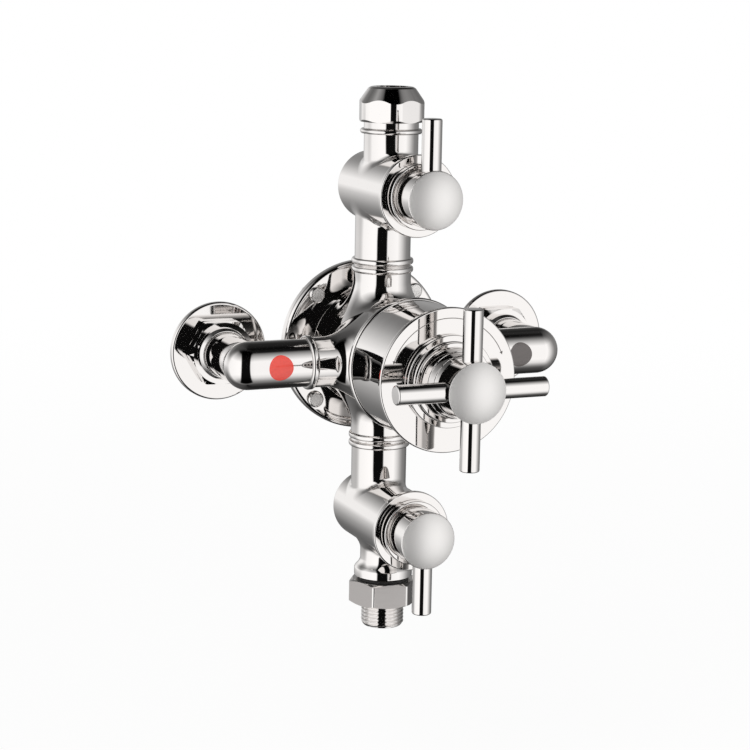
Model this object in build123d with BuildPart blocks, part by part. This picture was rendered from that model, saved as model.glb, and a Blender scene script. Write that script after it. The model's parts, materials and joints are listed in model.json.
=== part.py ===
# Exposed thermostatic shower valve for a bath or shower wall.
# Two wall elbows feed hot and cold water into a cast body with a thermostatic cartridge behind a
# cross handle. Mixed water leaves up and down through two quarter-turn lever valves.
# Millimetres. X runs to the viewer's right, Z up, and -Y out of the wall, whose surface is Y = 0.
# The origin is on the wall, on the axis of the cross handle. Depths are distances out of the wall.

import os
from math import asin, cos, radians, sin, sqrt

from build123d import *

os.makedirs("parts", exist_ok=True)

# Layout
inlet_spacing = 150.0
inlet_depth = 44.0
outlet_clear = 1.3
lever_height = 80.0
lever_step = 8.0

# Clearances
fit = 0.05
run = 0.05
slide = 0.1
thrust = 0.3

# Wall flange and its screws
flange_r = 42.3
flange_thick = 6.2
flange_round = 2.2
flange_spigot_r = 22.0
wall_relief = 0.8
screw_circle_r = 36.8
screw_r = 2.2
screw_shank_r = 2.6
screw_head_r = 4.0
screw_head_h = 2.6
screw_head_round = 2.1
screw_reach = 10.5

# Cast body
barrel_r = 27.5
rim_step = 3.7
rim_thick = 3.6
rim_flare = 3.0
rim_edge = 1.4
rim_back_edge = 0.5
nose_len = 22.6
inlet_stub_r = 12.0
inlet_stub_end = 43.0
inlet_blend = 3.5
outlet_stub_r = 14.0
outlet_stub_end = 39.5
outlet_blend = 5.0
inlet_port_r = 6.5
outlet_port_r = 7.0
cartridge_r = 20.0
cartridge_lead = 9.0
chamber_r = 12.0
chamber_lead = 12.5
bonnet_thread_r = 24.0
bonnet_thread_lead = 14.0

# Collar, dial plate and stop ring
collar_proud = 0.5
collar_wall = 3.2
collar_len = 36.7
collar_edge = 0.6
dial_proud = 1.95
dial_thick = 3.0
dial_edge = 0.8
dial_lip = 2.5
stop_base_r = 21.5
stop_base_h = 3.2
stop_top_r = 18.5
stop_top_h = 3.0
stop_edge = 0.5

# Cross handle
hub_base_r = 16.5
hub_base_h = 1.2
hub_waist_r = 12.5
hub_cone_h = 10.5
hub_bands = 3
hub_step = 0.4
hub_r = 13.87
hub_len = 12.9
hub_edge = 0.7
cap_wall = 1.5
cap_seat = 1.6
cap_dome = 4.0
bar_r = 4.55
bar_reach = 36.75
bar_edge = 0.8
bar_socket = 11.5
bar_stud_r = 3.0
bar_stud_len = 4.3
handle_screw_r = 2.0
handle_screw_head_r = 3.6
handle_screw_head_h = 3.0
handle_screw_len = 14.0
handle_screw_socket = 3.0
handle_web = 3.7

# Thermostatic cartridge
sleeve_bore_r = 14.0
sleeve_lip_r = 10.0
sleeve_lip = 1.5
sleeve_flange_h = 3.0
sleeve_port_r = 5.5
oring_wire_r = 0.9
oring_back_inset = 1.6
oring_front_inset = 3.5
bonnet_flats = 44.0
bonnet_hex_h = 7.4
bonnet_neck_r = 13.0
nut_flats = 20.0
nut_len = 7.5
nut_floor = 2.0
nut_boss_r = 8.0
thrust_collar_r = 8.5
thrust_collar_h = 2.0
nut_travel_gap = 2.5
spindle_r = 5.0
spindle_screw_r = 4.0
spindle_drive_r = 4.5
bulb_r = 7.0
bulb_len = 22.0
bulb_round = 2.3
wax_stem_r = 5.0
wax_stem_len = 6.0
piston_r = 2.5
piston_len = 6.0
shuttle_len = 10.0
shuttle_wall = 2.9
shuttle_web = 2.5
shuttle_port_r = 1.8
return_spring_r = 9.4
return_wire_r = 0.7
return_turns = 2

# Lever valves
lever_barrel_r = 17.0
lever_barrel_back = 8.0
lever_barrel_front = 65.5
lever_barrel_edge = 2.0
lever_inlet_r = 13.5
lever_blend = 2.6
upper_outlet_r = 13.0
upper_outlet_len = 26.7
lower_neck_r = 11.4
lower_neck_len = 25.6
lower_blend = 3.6
lower_flare_len = 4.0
lower_flare_round = 5.0
lower_ring_r = 14.3
lower_outlet_len = 30.5
lower_ring_edge = 0.8
headwork_r = 12.5
seat_depth = 33.0
seat_bore_r = 7.0
seat_bore_back = 18.5
lever_port_r = 6.0
outlet_hole_r = 3.0
outlet_hole_lead = 7.0
upper_spigot_r = 10.0
upper_spigot_len = 11.0
lower_spigot_r = 9.0
lower_spigot_len = 13.0
shroud_r = 19.35
shroud_thick = 3.0
shroud_edge = 0.7
headwork_flange_r = 15.5
headwork_flange_h = 4.0
headwork_skirt_r = 9.8
headwork_skirt_len = 10.0
disc_r = 9.6
disc_thick = 3.0
disc_port_r = 2.3
disc_port_circle_r = 4.3
disc_gap = 0.05
disc_slot = 4.0
disc_slot_deep = 1.5
disc_slot_len = 12.0
valve_collar_r = 6.5
valve_spindle_r = 4.0
knob_neck_r = 12.5
knob_neck_h = 3.2
knob_r = 13.67
knob_len = 12.0
knob_edge = 0.5
knob_dome = 3.7
knob_floor = 3.0
lever_r = 4.65
lever_tip = 36.9
lever_edge = 0.9
lever_socket = 11.0
lever_stud_r = 2.5
lever_stud_len = 6.5

# Union rings between the body and the lever valves
union_r = 15.0
union_len = 7.0
union_waist_r = 13.4
union_waist = 1.0
union_bead_edge = 1.2
nipple_r = 10.0
nipple_len = 6.5

# Riser connection on top, for 15 mm pipe
pipe_r = 7.6
pipe_stop_r = 6.5
pipe_socket = 15.0
riser_bead_r = 14.9
riser_bead_h = 2.5
riser_bead_edge = 1.1
riser_neck_r = 13.1
riser_neck_h = 3.1
riser_thread_r = 10.5
riser_thread_len = 6.6
riser_flats = 30.0
riser_corner_r = 16.5
riser_hex_h = 8.4
riser_cone_h = 8.2
riser_mouth_r = 9.5
riser_hex_turn = 14.0
olive_len = 2.6
olive_r = 9.6

# Outlet connection below, a half-inch pipe thread
washer_thick = 1.5
washer_r = 12.6
outlet_flats = 30.0
outlet_hex_h = 11.8
outlet_hex_turn = 8.3
outlet_thread_r = 10.48
outlet_thread_len = 11.6
outlet_thread_edge = 1.0
outlet_bore_r = 6.5
hex_chamfer = 1.6

# Wall elbows and what is on and in them
elbow_r = 11.4
elbow_leg_r = 10.9
elbow_ring_r = 12.9
elbow_ring_w = 3.4
elbow_ring_edge = 1.2
elbow_spigot_r = 9.5
elbow_spigot_len = 6.0
elbow_bore_r = 7.5
check_seat_r = 5.5
check_seat_x = 60.0
leg_end = 7.2
leg_socket = 14.0
plate_r = 24.0
plate_thick = 3.0
plate_edge = 1.2
plate_hole_r = 8.0
inlet_flats = 30.0
inlet_hex_h = 6.5
inlet_step_r = 12.6
inlet_step_h = 1.6
inlet_cone_h = 2.2
inlet_lip = 0.6
inlet_nut_web = 1.6
marker_x = 62.0
marker_r = 6.0
marker_sink = 0.6
marker_proud = 0.1
poppet_r = 6.9
poppet_thick = 2.5
poppet_stem_r = 1.5
poppet_stem_len = 13.4
guide_x = 46.0
guide_thick = 3.0
guide_rim = 1.4
guide_hub_r = 3.2
guide_arm = 1.6
check_spring_r = 2.6
check_wire_r = 0.4
check_turns = 4

# Places that follow from the sizes above
ORIGIN = (0, 0, 0)
OUT = (0, -1, 0)
inlet_x = inlet_spacing / 2
outlet_depth = flange_thick + outlet_stub_r + outlet_blend + outlet_clear
rim_r = barrel_r + rim_step
collar_r = rim_r + collar_proud
dial_r = collar_r + dial_proud
body_front = inlet_depth + nose_len
rim_back = body_front - rim_thick
cartridge_back = inlet_depth - cartridge_lead
chamber_back = outlet_depth - chamber_lead
bonnet_thread_back = inlet_depth + bonnet_thread_lead
collar_front = body_front + collar_len
dial_front = collar_front + dial_thick
stop_front = dial_front + stop_base_h + stop_top_h
hub_back = stop_front + thrust
hub_waist = hub_back + hub_base_h + hub_cone_h
hub_front = hub_waist + hub_len
bar_depth = hub_waist + hub_len / 2
cap_back = hub_front - cap_seat
screw_seat = cap_back - handle_screw_head_h - cap_wall
drive_end = screw_seat - handle_web
sleeve_flange_front = bonnet_thread_back + sleeve_flange_h
nut_front = sleeve_flange_front + nut_len - nut_floor
collar_seat = nut_front + nut_travel_gap
bonnet_web = collar_seat + thrust_collar_h
hex_front = body_front + bonnet_hex_h
neck_front = dial_front + stop_base_h
web_back = inlet_depth + shuttle_web / 2
piston_tip = web_back + wax_stem_len + piston_len
shroud_front = lever_barrel_front + shroud_thick
headwork_front = shroud_front + headwork_flange_h
knob_back = headwork_front + thrust
knob_body = knob_back + knob_neck_h
knob_front = knob_body + knob_len
lever_depth = knob_body + knob_len / 2
turning_back = seat_depth + disc_thick + disc_gap
turning_front = turning_back + disc_thick
skirt_end = seat_depth + headwork_skirt_len
outlet_hole_depth = seat_depth + outlet_hole_lead
union_end = outlet_stub_end + union_len
lever_outlet_depth = outlet_depth + lever_step
upper_outlet_end = lever_height + upper_outlet_len
lower_neck_end = lever_height + lower_neck_len
lower_outlet_end = lever_height + lower_outlet_len
riser_shoulder = upper_outlet_end + riser_bead_h + riser_neck_h
riser_top = riser_shoulder + riser_hex_h + riser_cone_h
riser_thread_end = riser_shoulder + riser_thread_len
outlet_hex_start = lower_outlet_end + washer_thick
outlet_hex_end = outlet_hex_start + outlet_hex_h
outlet_end = outlet_hex_end + outlet_thread_len
inlet_step_top = plate_thick + inlet_hex_h + inlet_step_h
inlet_nut_front = inlet_step_top + inlet_cone_h
marker_front = inlet_depth + elbow_r + marker_proud
marker_floor = inlet_depth + sqrt(elbow_r**2 - marker_r**2) - marker_sink
guide_front = guide_x + guide_thick
flange_corners = [(a * screw_circle_r * cos(radians(45)), b * screw_circle_r * sin(radians(45)))
                  for a in (1, -1) for b in (1, -1)]
SIDES = (("hot", -1), ("cold", 1))
LEVERS = (("upper", 1), ("lower", -1))


def side_plane(base, along):
    """The plane through an axis, with its local y running along that axis."""
    side = Vector(0, 0, 1) if abs(along[0]) > 0.5 else Vector(1, 0, 0)
    return Plane(origin=base, x_dir=side, z_dir=side.cross(Vector(*along)))


def turn(points, base, along, rounds=(), mode=Mode.ADD):
    """Turn a closed outline of (radius, distance) points about the axis that leaves base."""
    with BuildSketch(side_plane(base, along)) as outline:
        with BuildLine():
            Polyline(*points, close=True)
        make_face()
        for corner, radius in rounds:
            fillet(outline.vertices().sort_by_distance(corner)[0], radius)
    revolve(outline.sketch, axis=Axis(base, along), mode=mode)


def rod(radius, start, end, base, along, mode=Mode.ADD):
    """A plain cylinder between two distances along an axis."""
    turn([(0, start), (radius, start), (radius, end), (0, end)], base, along, mode=mode)


def ring(outer, inner, start, end, base, along, rounds=(), mode=Mode.ADD):
    """A plain ring between two distances along an axis."""
    corners = [(inner, start), (outer, start), (outer, end), (inner, end)]
    turn(corners, base, along, rounds, mode)


def dome(radius, start, height, base, along):
    """A shallow spherical cap on a flat round face."""
    ball_r = (radius**2 + height**2) / (2 * height)
    half = asin(radius / ball_r) / 2
    top = start + height
    with BuildSketch(side_plane(base, along)) as outline:
        with BuildLine():
            Polyline((0, top), (0, start), (radius, start))
            ThreePointArc((radius, start), (ball_r * sin(half), top - ball_r + ball_r * cos(half)), (0, top))
        make_face()
    revolve(outline.sketch, axis=Axis(base, along))


def hexagon(flats, start, end, base, along, turned=0, mode=Mode.ADD):
    """A hexagonal prism between two distances along an axis."""
    side = Vector(0, 0, 1) if abs(along[0]) > 0.5 else Vector(1, 0, 0)
    foot = Vector(*base) + Vector(*along) * start
    with BuildSketch(Plane(origin=foot, x_dir=side, z_dir=along)) as outline:
        RegularPolygon(flats / 2, 6, major_radius=False, rotation=turned)
    extrude(outline.sketch, amount=end - start, mode=mode)


def chamfer_hexagon(flats, start, end, base, along):
    """Turn the corners off both ends of a hexagonal prism."""
    wide = flats / 2 + hex_chamfer * 2
    flat_r = flats / 2
    rise = hex_chamfer
    outline = [(0, start), (flat_r, start), (wide, start + rise), (wide, end - rise), (flat_r, end),
               (0, end)]
    turn(outline, base, along, mode=Mode.INTERSECT)


def coil(mean_r, wire_r, start, end, turns, base, along):
    """A round-wire spring between two distances along an axis."""
    height = end - start - 2 * wire_r
    foot = Vector(*base) + Vector(*along) * (start + wire_r)
    with BuildLine() as path:
        Helix(height / turns, height, mean_r, center=foot, direction=along)
    with BuildSketch(Plane(origin=path.line @ 0, z_dir=path.line % 0)) as section:
        Circle(wire_r)
    sweep(section.sketch, path=path.line, is_frenet=True)


def save(piece, label):
    """Label a finished piece and write it."""
    piece.part.label = label
    export_step(piece.part, f"parts/{label}.step")


# Wall flange with its four screws
with BuildPart() as wall_flange:
    ring(flange_r, flange_spigot_r + fit, 0, flange_thick, ORIGIN, OUT,
         [((flange_r, flange_thick), flange_round)])
    with BuildSketch(Plane.XZ):
        with Locations(*flange_corners):
            Circle(screw_shank_r + fit)
    extrude(amount=flange_thick, mode=Mode.SUBTRACT)
save(wall_flange, "wall_flange")

with BuildPart() as flange_screws:
    head_top = flange_thick + screw_head_h
    screw = [(0, -screw_reach), (screw_r, -screw_reach), (screw_r, 0), (screw_shank_r, 0),
             (screw_shank_r, flange_thick), (screw_head_r, flange_thick), (screw_head_r, head_top),
             (0, head_top)]
    for screw_x, screw_z in flange_corners:
        turn(screw, (screw_x, 0, screw_z), OUT, [((screw_head_r, head_top), screw_head_round)])
save(flange_screws, "flange_screws")

# Cast body: barrel, two inlet stubs and two outlet stubs blended into it, then the bores
with BuildPart() as valve_body:
    inlet_base = (0, -inlet_depth, 0)
    outlet_base = (0, -outlet_depth, 0)
    barrel = [(0, wall_relief), (flange_spigot_r, wall_relief), (flange_spigot_r, flange_thick),
              (barrel_r, flange_thick), (barrel_r, rim_back), (rim_r, rim_back), (rim_r, body_front),
              (0, body_front)]
    turn(barrel, ORIGIN, OUT, [((barrel_r, rim_back), rim_flare), ((rim_r, rim_back), rim_back_edge),
                               ((rim_r, body_front), rim_edge)])
    rod(inlet_stub_r, -inlet_stub_end, inlet_stub_end, inlet_base, (1, 0, 0))
    fillet(valve_body.edges(Select.NEW), inlet_blend)
    rod(outlet_stub_r, -outlet_stub_end, outlet_stub_end, outlet_base, (0, 0, 1))
    fillet(valve_body.edges(Select.NEW), outlet_blend)
    rod(chamber_r, chamber_back, body_front, ORIGIN, OUT, Mode.SUBTRACT)
    rod(cartridge_r, cartridge_back, body_front, ORIGIN, OUT, Mode.SUBTRACT)
    rod(bonnet_thread_r, bonnet_thread_back, body_front, ORIGIN, OUT, Mode.SUBTRACT)
    rod(inlet_port_r, -inlet_stub_end, inlet_stub_end, inlet_base, (1, 0, 0), Mode.SUBTRACT)
    rod(outlet_port_r, -outlet_stub_end, outlet_stub_end, outlet_base, (0, 0, 1), Mode.SUBTRACT)
    for s in (1, -1):
        rod(elbow_spigot_r + fit, inlet_stub_end - elbow_spigot_len, inlet_stub_end, inlet_base, (s, 0, 0),
            Mode.SUBTRACT)
        rod(nipple_r + fit, outlet_stub_end - nipple_len, outlet_stub_end, outlet_base, (0, 0, s),
            Mode.SUBTRACT)
save(valve_body, "valve_body")

# Collar, dial plate and stop ring in front of the body
with BuildPart() as front_collar:
    ring(collar_r, collar_r - collar_wall, body_front, collar_front, ORIGIN, OUT,
         [((collar_r, body_front), collar_edge), ((collar_r, collar_front), collar_edge)])
save(front_collar, "front_collar")

with BuildPart() as dial_plate:
    ring(dial_r, bonnet_neck_r + fit, collar_front, dial_front, ORIGIN, OUT,
         [((dial_r, collar_front), dial_edge), ((dial_r, dial_front), dial_edge)])
    lip_r = collar_r - collar_wall - fit
    ring(lip_r, lip_r - dial_lip, collar_front - dial_lip, collar_front, ORIGIN, OUT)
save(dial_plate, "dial_plate")

with BuildPart() as stop_ring:
    stop_step = dial_front + stop_base_h
    steps = [(bonnet_neck_r + fit, dial_front), (stop_base_r, dial_front), (stop_base_r, stop_step),
             (stop_top_r, stop_step), (stop_top_r, stop_front), (bonnet_neck_r + fit, stop_front)]
    turn(steps, ORIGIN, OUT, [((stop_base_r, stop_step), stop_edge), ((stop_top_r, stop_front), stop_edge)])
save(stop_ring, "stop_ring")

# Cross handle: hub, four screwed-in bars, domed cap and the screw under it
BARS = (("top", (0, 0, 1)), ("right", (1, 0, 0)), ("bottom", (0, 0, -1)), ("left", (-1, 0, 0)))
bar_base = (0, -bar_depth, 0)
with BuildPart() as handle_hub:
    hub_cone = hub_back + hub_base_h
    band_h = hub_cone_h / hub_bands
    band_drop = (hub_base_r - hub_waist_r) / hub_bands
    hub = [(0, hub_back), (hub_base_r, hub_back)]
    for band in range(hub_bands):
        band_r = hub_base_r - band * band_drop
        band_back = hub_cone + band * band_h
        hub += [(band_r, band_back), (band_r - band_drop + hub_step, band_back + band_h)]
    hub += [(hub_r, hub_waist), (hub_r, hub_front), (0, hub_front)]
    turn(hub, ORIGIN, OUT, [((hub_base_r, hub_back), hub_edge), ((hub_r, hub_front), hub_edge / 2),
                            ((hub_r, hub_waist), hub_edge / 2)])
    rod(spindle_drive_r + fit, hub_back, drive_end + thrust, ORIGIN, OUT, Mode.SUBTRACT)
    rod(handle_screw_r + fit, drive_end, screw_seat, ORIGIN, OUT, Mode.SUBTRACT)
    rod(handle_screw_head_r + thrust, screw_seat, cap_back, ORIGIN, OUT, Mode.SUBTRACT)
    rod(hub_r - cap_wall + fit, cap_back, hub_front, ORIGIN, OUT, Mode.SUBTRACT)
    for side, way in BARS:
        rod(bar_r + fit, bar_socket, hub_r, bar_base, way, Mode.SUBTRACT)
        rod(bar_stud_r + fit, bar_socket - bar_stud_len, bar_socket, bar_base, way, Mode.SUBTRACT)
save(handle_hub, "handle_hub")

for side, way in BARS:
    with BuildPart() as handle_bar:
        stud_start = bar_socket - bar_stud_len
        bar = [(0, stud_start), (bar_stud_r, stud_start), (bar_stud_r, bar_socket), (bar_r, bar_socket),
               (bar_r, bar_reach), (0, bar_reach)]
        turn(bar, bar_base, way, [((bar_r, bar_reach), bar_edge)])
    save(handle_bar, f"handle_bar_{side}")

with BuildPart() as handle_cap:
    rod(hub_r - cap_wall, cap_back, hub_front, ORIGIN, OUT)
    dome(hub_r, hub_front, cap_dome, ORIGIN, OUT)
save(handle_cap, "handle_cap")

with BuildPart() as handle_screw:
    rod(handle_screw_r, screw_seat - handle_screw_len, screw_seat, ORIGIN, OUT)
    rod(handle_screw_head_r, screw_seat, screw_seat + handle_screw_head_h, ORIGIN, OUT)
    hexagon(handle_screw_socket, screw_seat + handle_screw_head_h / 2, screw_seat + handle_screw_head_h,
            ORIGIN, OUT, mode=Mode.SUBTRACT)
save(handle_screw, "handle_screw")

# Thermostatic cartridge
oring_places = (cartridge_back + oring_back_inset, bonnet_thread_back - oring_front_inset)
oring_r = cartridge_r - fit - oring_wire_r
with BuildPart() as cartridge_sleeve:
    sleeve = [(sleeve_lip_r, cartridge_back), (cartridge_r - fit, cartridge_back),
              (cartridge_r - fit, bonnet_thread_back), (bonnet_thread_r - fit, bonnet_thread_back),
              (bonnet_thread_r - fit, sleeve_flange_front), (sleeve_bore_r, sleeve_flange_front),
              (sleeve_bore_r, cartridge_back + sleeve_lip), (sleeve_lip_r, cartridge_back + sleeve_lip)]
    turn(sleeve, ORIGIN, OUT)
    oring_half = oring_wire_r + fit
    for place in oring_places:
        ring(cartridge_r, oring_r - oring_half, place - oring_half, place + oring_half, ORIGIN, OUT,
             mode=Mode.SUBTRACT)
    rod(sleeve_port_r, -cartridge_r, cartridge_r, inlet_base, (1, 0, 0), Mode.SUBTRACT)
save(cartridge_sleeve, "cartridge_sleeve")

with BuildPart() as cartridge_o_rings:
    for place in oring_places:
        with Locations(Plane.XZ.offset(place)):
            Torus(oring_r, oring_wire_r)
save(cartridge_o_rings, "cartridge_o_rings")

with BuildPart() as cartridge_bonnet:
    hexagon(bonnet_flats, body_front, hex_front, ORIGIN, OUT)
    chamfer_hexagon(bonnet_flats, body_front, hex_front, ORIGIN, OUT)
    rod(bonnet_thread_r - fit, sleeve_flange_front, body_front, ORIGIN, OUT)
    rod(bonnet_neck_r, hex_front, neck_front, ORIGIN, OUT)
    hexagon(nut_flats + 2 * slide, sleeve_flange_front, collar_seat, ORIGIN, OUT, mode=Mode.SUBTRACT)
    rod(thrust_collar_r + slide, sleeve_flange_front, bonnet_web, ORIGIN, OUT, Mode.SUBTRACT)
    rod(spindle_r + run, bonnet_web, neck_front, ORIGIN, OUT, Mode.SUBTRACT)
save(cartridge_bonnet, "cartridge_bonnet")

with BuildPart() as cartridge_spindle:
    screw_tip = nut_front - nut_len + 2 * nut_floor
    turn([(0, screw_tip), (spindle_screw_r, screw_tip), (spindle_screw_r, collar_seat),
          (thrust_collar_r, collar_seat), (thrust_collar_r, bonnet_web - run), (spindle_r, bonnet_web - run),
          (spindle_r, neck_front), (spindle_drive_r, neck_front), (spindle_drive_r, drive_end),
          (0, drive_end)], ORIGIN, OUT)
    rod(handle_screw_r + fit, screw_seat - handle_screw_len - thrust, drive_end, ORIGIN, OUT, Mode.SUBTRACT)
save(cartridge_spindle, "cartridge_spindle")

with BuildPart() as drive_nut:
    nut_back = nut_front - nut_len
    hexagon(nut_flats, nut_back + nut_floor, nut_front, ORIGIN, OUT)
    rod(nut_boss_r, piston_tip, nut_back + nut_floor, ORIGIN, OUT)
    rod(spindle_screw_r + slide, nut_back + nut_floor / 2, nut_front, ORIGIN, OUT, Mode.SUBTRACT)
save(drive_nut, "drive_nut")

with BuildPart() as wax_element:
    web_front = web_back + wax_stem_len
    bulb_seat = web_back - shuttle_web
    turn([(0, bulb_seat - bulb_len), (bulb_r, bulb_seat - bulb_len), (bulb_r, bulb_seat),
          (wax_stem_r, bulb_seat), (wax_stem_r, web_front), (piston_r, web_front), (piston_r, piston_tip),
          (0, piston_tip)], ORIGIN, OUT, [((bulb_r, bulb_seat - bulb_len), bulb_round)])
save(wax_element, "wax_element")

with BuildPart() as regulating_shuttle:
    shuttle_r = sleeve_bore_r - slide
    shuttle_back = inlet_depth - shuttle_len / 2
    ring(shuttle_r, shuttle_r - shuttle_wall, shuttle_back, shuttle_back + shuttle_len, ORIGIN, OUT)
    ring(shuttle_r - shuttle_wall / 2, wax_stem_r + fit, web_back - shuttle_web, web_back, ORIGIN, OUT)
    with BuildSketch(Plane.XZ.offset(web_back - shuttle_web)):
        with PolarLocations((shuttle_r - shuttle_wall + wax_stem_r) / 2, 6):
            Circle(shuttle_port_r)
    extrude(amount=shuttle_web, mode=Mode.SUBTRACT)
save(regulating_shuttle, "regulating_shuttle")

with BuildPart() as return_spring:
    coil(return_spring_r, return_wire_r, cartridge_back + sleeve_lip, web_back - shuttle_web, return_turns,
         ORIGIN, OUT)
save(return_spring, "return_spring")

# Union rings and lever valves above and below the body
for level, s in LEVERS:
    up = (0, 0, s)
    hub_base = (0, 0, s * lever_height)
    inlet_axis = (0, -outlet_depth, 0)
    outlet_axis = (0, -lever_outlet_depth, 0)
    outlet_face = upper_outlet_end if s > 0 else lower_outlet_end
    spigot_r = upper_spigot_r if s > 0 else lower_spigot_r
    spigot_len = upper_spigot_len if s > 0 else lower_spigot_len

    with BuildPart() as union_ring:
        bead = (union_len - union_waist) / 2
        first_end = outlet_stub_end + bead
        second_start = union_end - bead
        ring(nipple_r, outlet_port_r, outlet_stub_end - nipple_len, union_end + nipple_len, inlet_axis, up)
        ring(union_waist_r, nipple_r, outlet_stub_end, union_end, inlet_axis, up)
        for start, end in ((outlet_stub_end, first_end), (second_start, union_end)):
            ring(union_r, union_waist_r, start, end, inlet_axis, up,
                 [((union_r, start), union_bead_edge), ((union_r, end), union_bead_edge)])
    save(union_ring, f"{level}_union_ring")

    with BuildPart() as lever_body:
        rod(lever_barrel_r, lever_barrel_back, lever_barrel_front, hub_base, OUT)
        fillet(lever_body.edges().filter_by(GeomType.CIRCLE).sort_by(Axis.Y)[-1], lever_barrel_edge)
        rod(lever_inlet_r, union_end, lever_height, inlet_axis, up)
        fillet(lever_body.edges(Select.NEW), lever_blend)
        if s > 0:
            rod(upper_outlet_r, lever_height, upper_outlet_end, outlet_axis, up)
            fillet(lever_body.edges(Select.NEW), lever_blend)
        else:
            rod(lower_neck_r, lever_height, lower_neck_end, outlet_axis, up)
            fillet(lever_body.edges(Select.NEW), lower_blend)
            flare_start = lower_neck_end - lower_flare_len
            turn([(0, flare_start - lower_flare_len), (lower_neck_r, flare_start - lower_flare_len),
                  (lower_neck_r, flare_start), (lower_ring_r, lower_neck_end), (lower_ring_r, outlet_face),
                  (0, outlet_face)], outlet_axis, up,
                 [((lower_neck_r, flare_start), lower_flare_round),
                  ((lower_ring_r, lower_neck_end), lower_ring_edge),
                  ((lower_ring_r, outlet_face), lower_ring_edge)])
        rod(spigot_r + fit, outlet_face - spigot_len, outlet_face, outlet_axis, up, Mode.SUBTRACT)
        rod(seat_bore_r, seat_bore_back, lever_barrel_front, hub_base, OUT, Mode.SUBTRACT)
        rod(headwork_r, seat_depth, lever_barrel_front, hub_base, OUT, Mode.SUBTRACT)
        rod(lever_port_r, union_end, lever_height, inlet_axis, up, Mode.SUBTRACT)
        rod(nipple_r + fit, union_end, union_end + nipple_len, inlet_axis, up, Mode.SUBTRACT)
        rod(outlet_hole_r, lever_height, outlet_face - spigot_len, (0, -outlet_hole_depth, 0), up,
            Mode.SUBTRACT)
    save(lever_body, f"{level}_valve_body")

    with BuildPart() as shroud:
        ring(shroud_r, headwork_r, lever_barrel_front, shroud_front, hub_base, OUT,
             [((shroud_r, lever_barrel_front), shroud_edge), ((shroud_r, shroud_front), shroud_edge)])
    save(shroud, f"{level}_shroud")

    with BuildPart() as headwork:
        turn([(0, seat_depth + disc_gap), (headwork_r - fit, seat_depth + disc_gap),
              (headwork_r - fit, shroud_front), (headwork_flange_r, shroud_front),
              (headwork_flange_r, headwork_front), (0, headwork_front)], hub_base, OUT,
             [((headwork_flange_r, headwork_front), shroud_edge)])
        rod(headwork_skirt_r, seat_depth + disc_gap, skirt_end, hub_base, OUT, Mode.SUBTRACT)
        rod(valve_spindle_r + run, skirt_end, headwork_front, hub_base, OUT, Mode.SUBTRACT)
        rod(outlet_hole_r, -headwork_r, headwork_r, (0, -outlet_hole_depth, s * lever_height), (0, 0, 1),
            Mode.SUBTRACT)
    save(headwork, f"{level}_headwork")

    with BuildPart() as fixed_disc:
        with BuildSketch(Plane(origin=(0, -seat_depth, s * lever_height), x_dir=(1, 0, 0), z_dir=OUT)):
            Circle(disc_r)
            with PolarLocations(disc_port_circle_r, 2):
                Circle(disc_port_r, mode=Mode.SUBTRACT)
        extrude(amount=disc_thick)
    save(fixed_disc, f"{level}_fixed_disc")

    with BuildPart() as turning_disc:
        with BuildSketch(Plane(origin=(0, -turning_back, s * lever_height), x_dir=(1, 0, 0), z_dir=OUT)):
            Circle(disc_r)
            with PolarLocations(disc_port_circle_r, 2, start_angle=90):
                Circle(disc_port_r, mode=Mode.SUBTRACT)
        extrude(amount=disc_thick)
        with BuildSketch(Plane(origin=(0, -turning_front, s * lever_height), x_dir=(1, 0, 0), z_dir=OUT)):
            Rectangle(disc_slot_len + 2 * slide, disc_slot)
        extrude(amount=-disc_slot_deep, mode=Mode.SUBTRACT)
    save(turning_disc, f"{level}_turning_disc")

    with BuildPart() as valve_spindle:
        rod(valve_collar_r, turning_front + slide, skirt_end - run, hub_base, OUT)
        rod(valve_spindle_r, skirt_end - run, knob_front - knob_floor - thrust, hub_base, OUT)
        tongue_base = (0, -turning_front - slide, s * lever_height)
        with BuildSketch(Plane(origin=tongue_base, x_dir=(1, 0, 0), z_dir=OUT)):
            Rectangle(disc_slot_len, disc_slot - 2 * slide)
        extrude(amount=-disc_slot_deep)
    save(valve_spindle, f"{level}_spindle")

    with BuildPart() as knob:
        turn([(0, knob_back), (knob_neck_r, knob_back), (knob_neck_r, knob_body), (knob_r, knob_body),
              (knob_r, knob_front), (0, knob_front)], hub_base, OUT, [((knob_r, knob_body), knob_edge)])
        dome(knob_r, knob_front, knob_dome, hub_base, OUT)
        rod(valve_spindle_r + fit, knob_back, knob_front - knob_floor, hub_base, OUT, Mode.SUBTRACT)
        lever_base = (0, -lever_depth, s * lever_height)
        rod(lever_r + fit, lever_socket, knob_r, lever_base, up, Mode.SUBTRACT)
        rod(lever_stud_r + fit, 0, lever_socket, lever_base, up, Mode.SUBTRACT)
    save(knob, f"{level}_knob")

    with BuildPart() as lever:
        lever_start = lever_socket - lever_stud_len
        turn([(0, lever_start), (lever_stud_r, lever_start), (lever_stud_r, lever_socket),
              (lever_r, lever_socket), (lever_r, lever_tip), (0, lever_tip)], lever_base, up,
             [((lever_r, lever_tip), lever_edge)])
    save(lever, f"{level}_lever")

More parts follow.
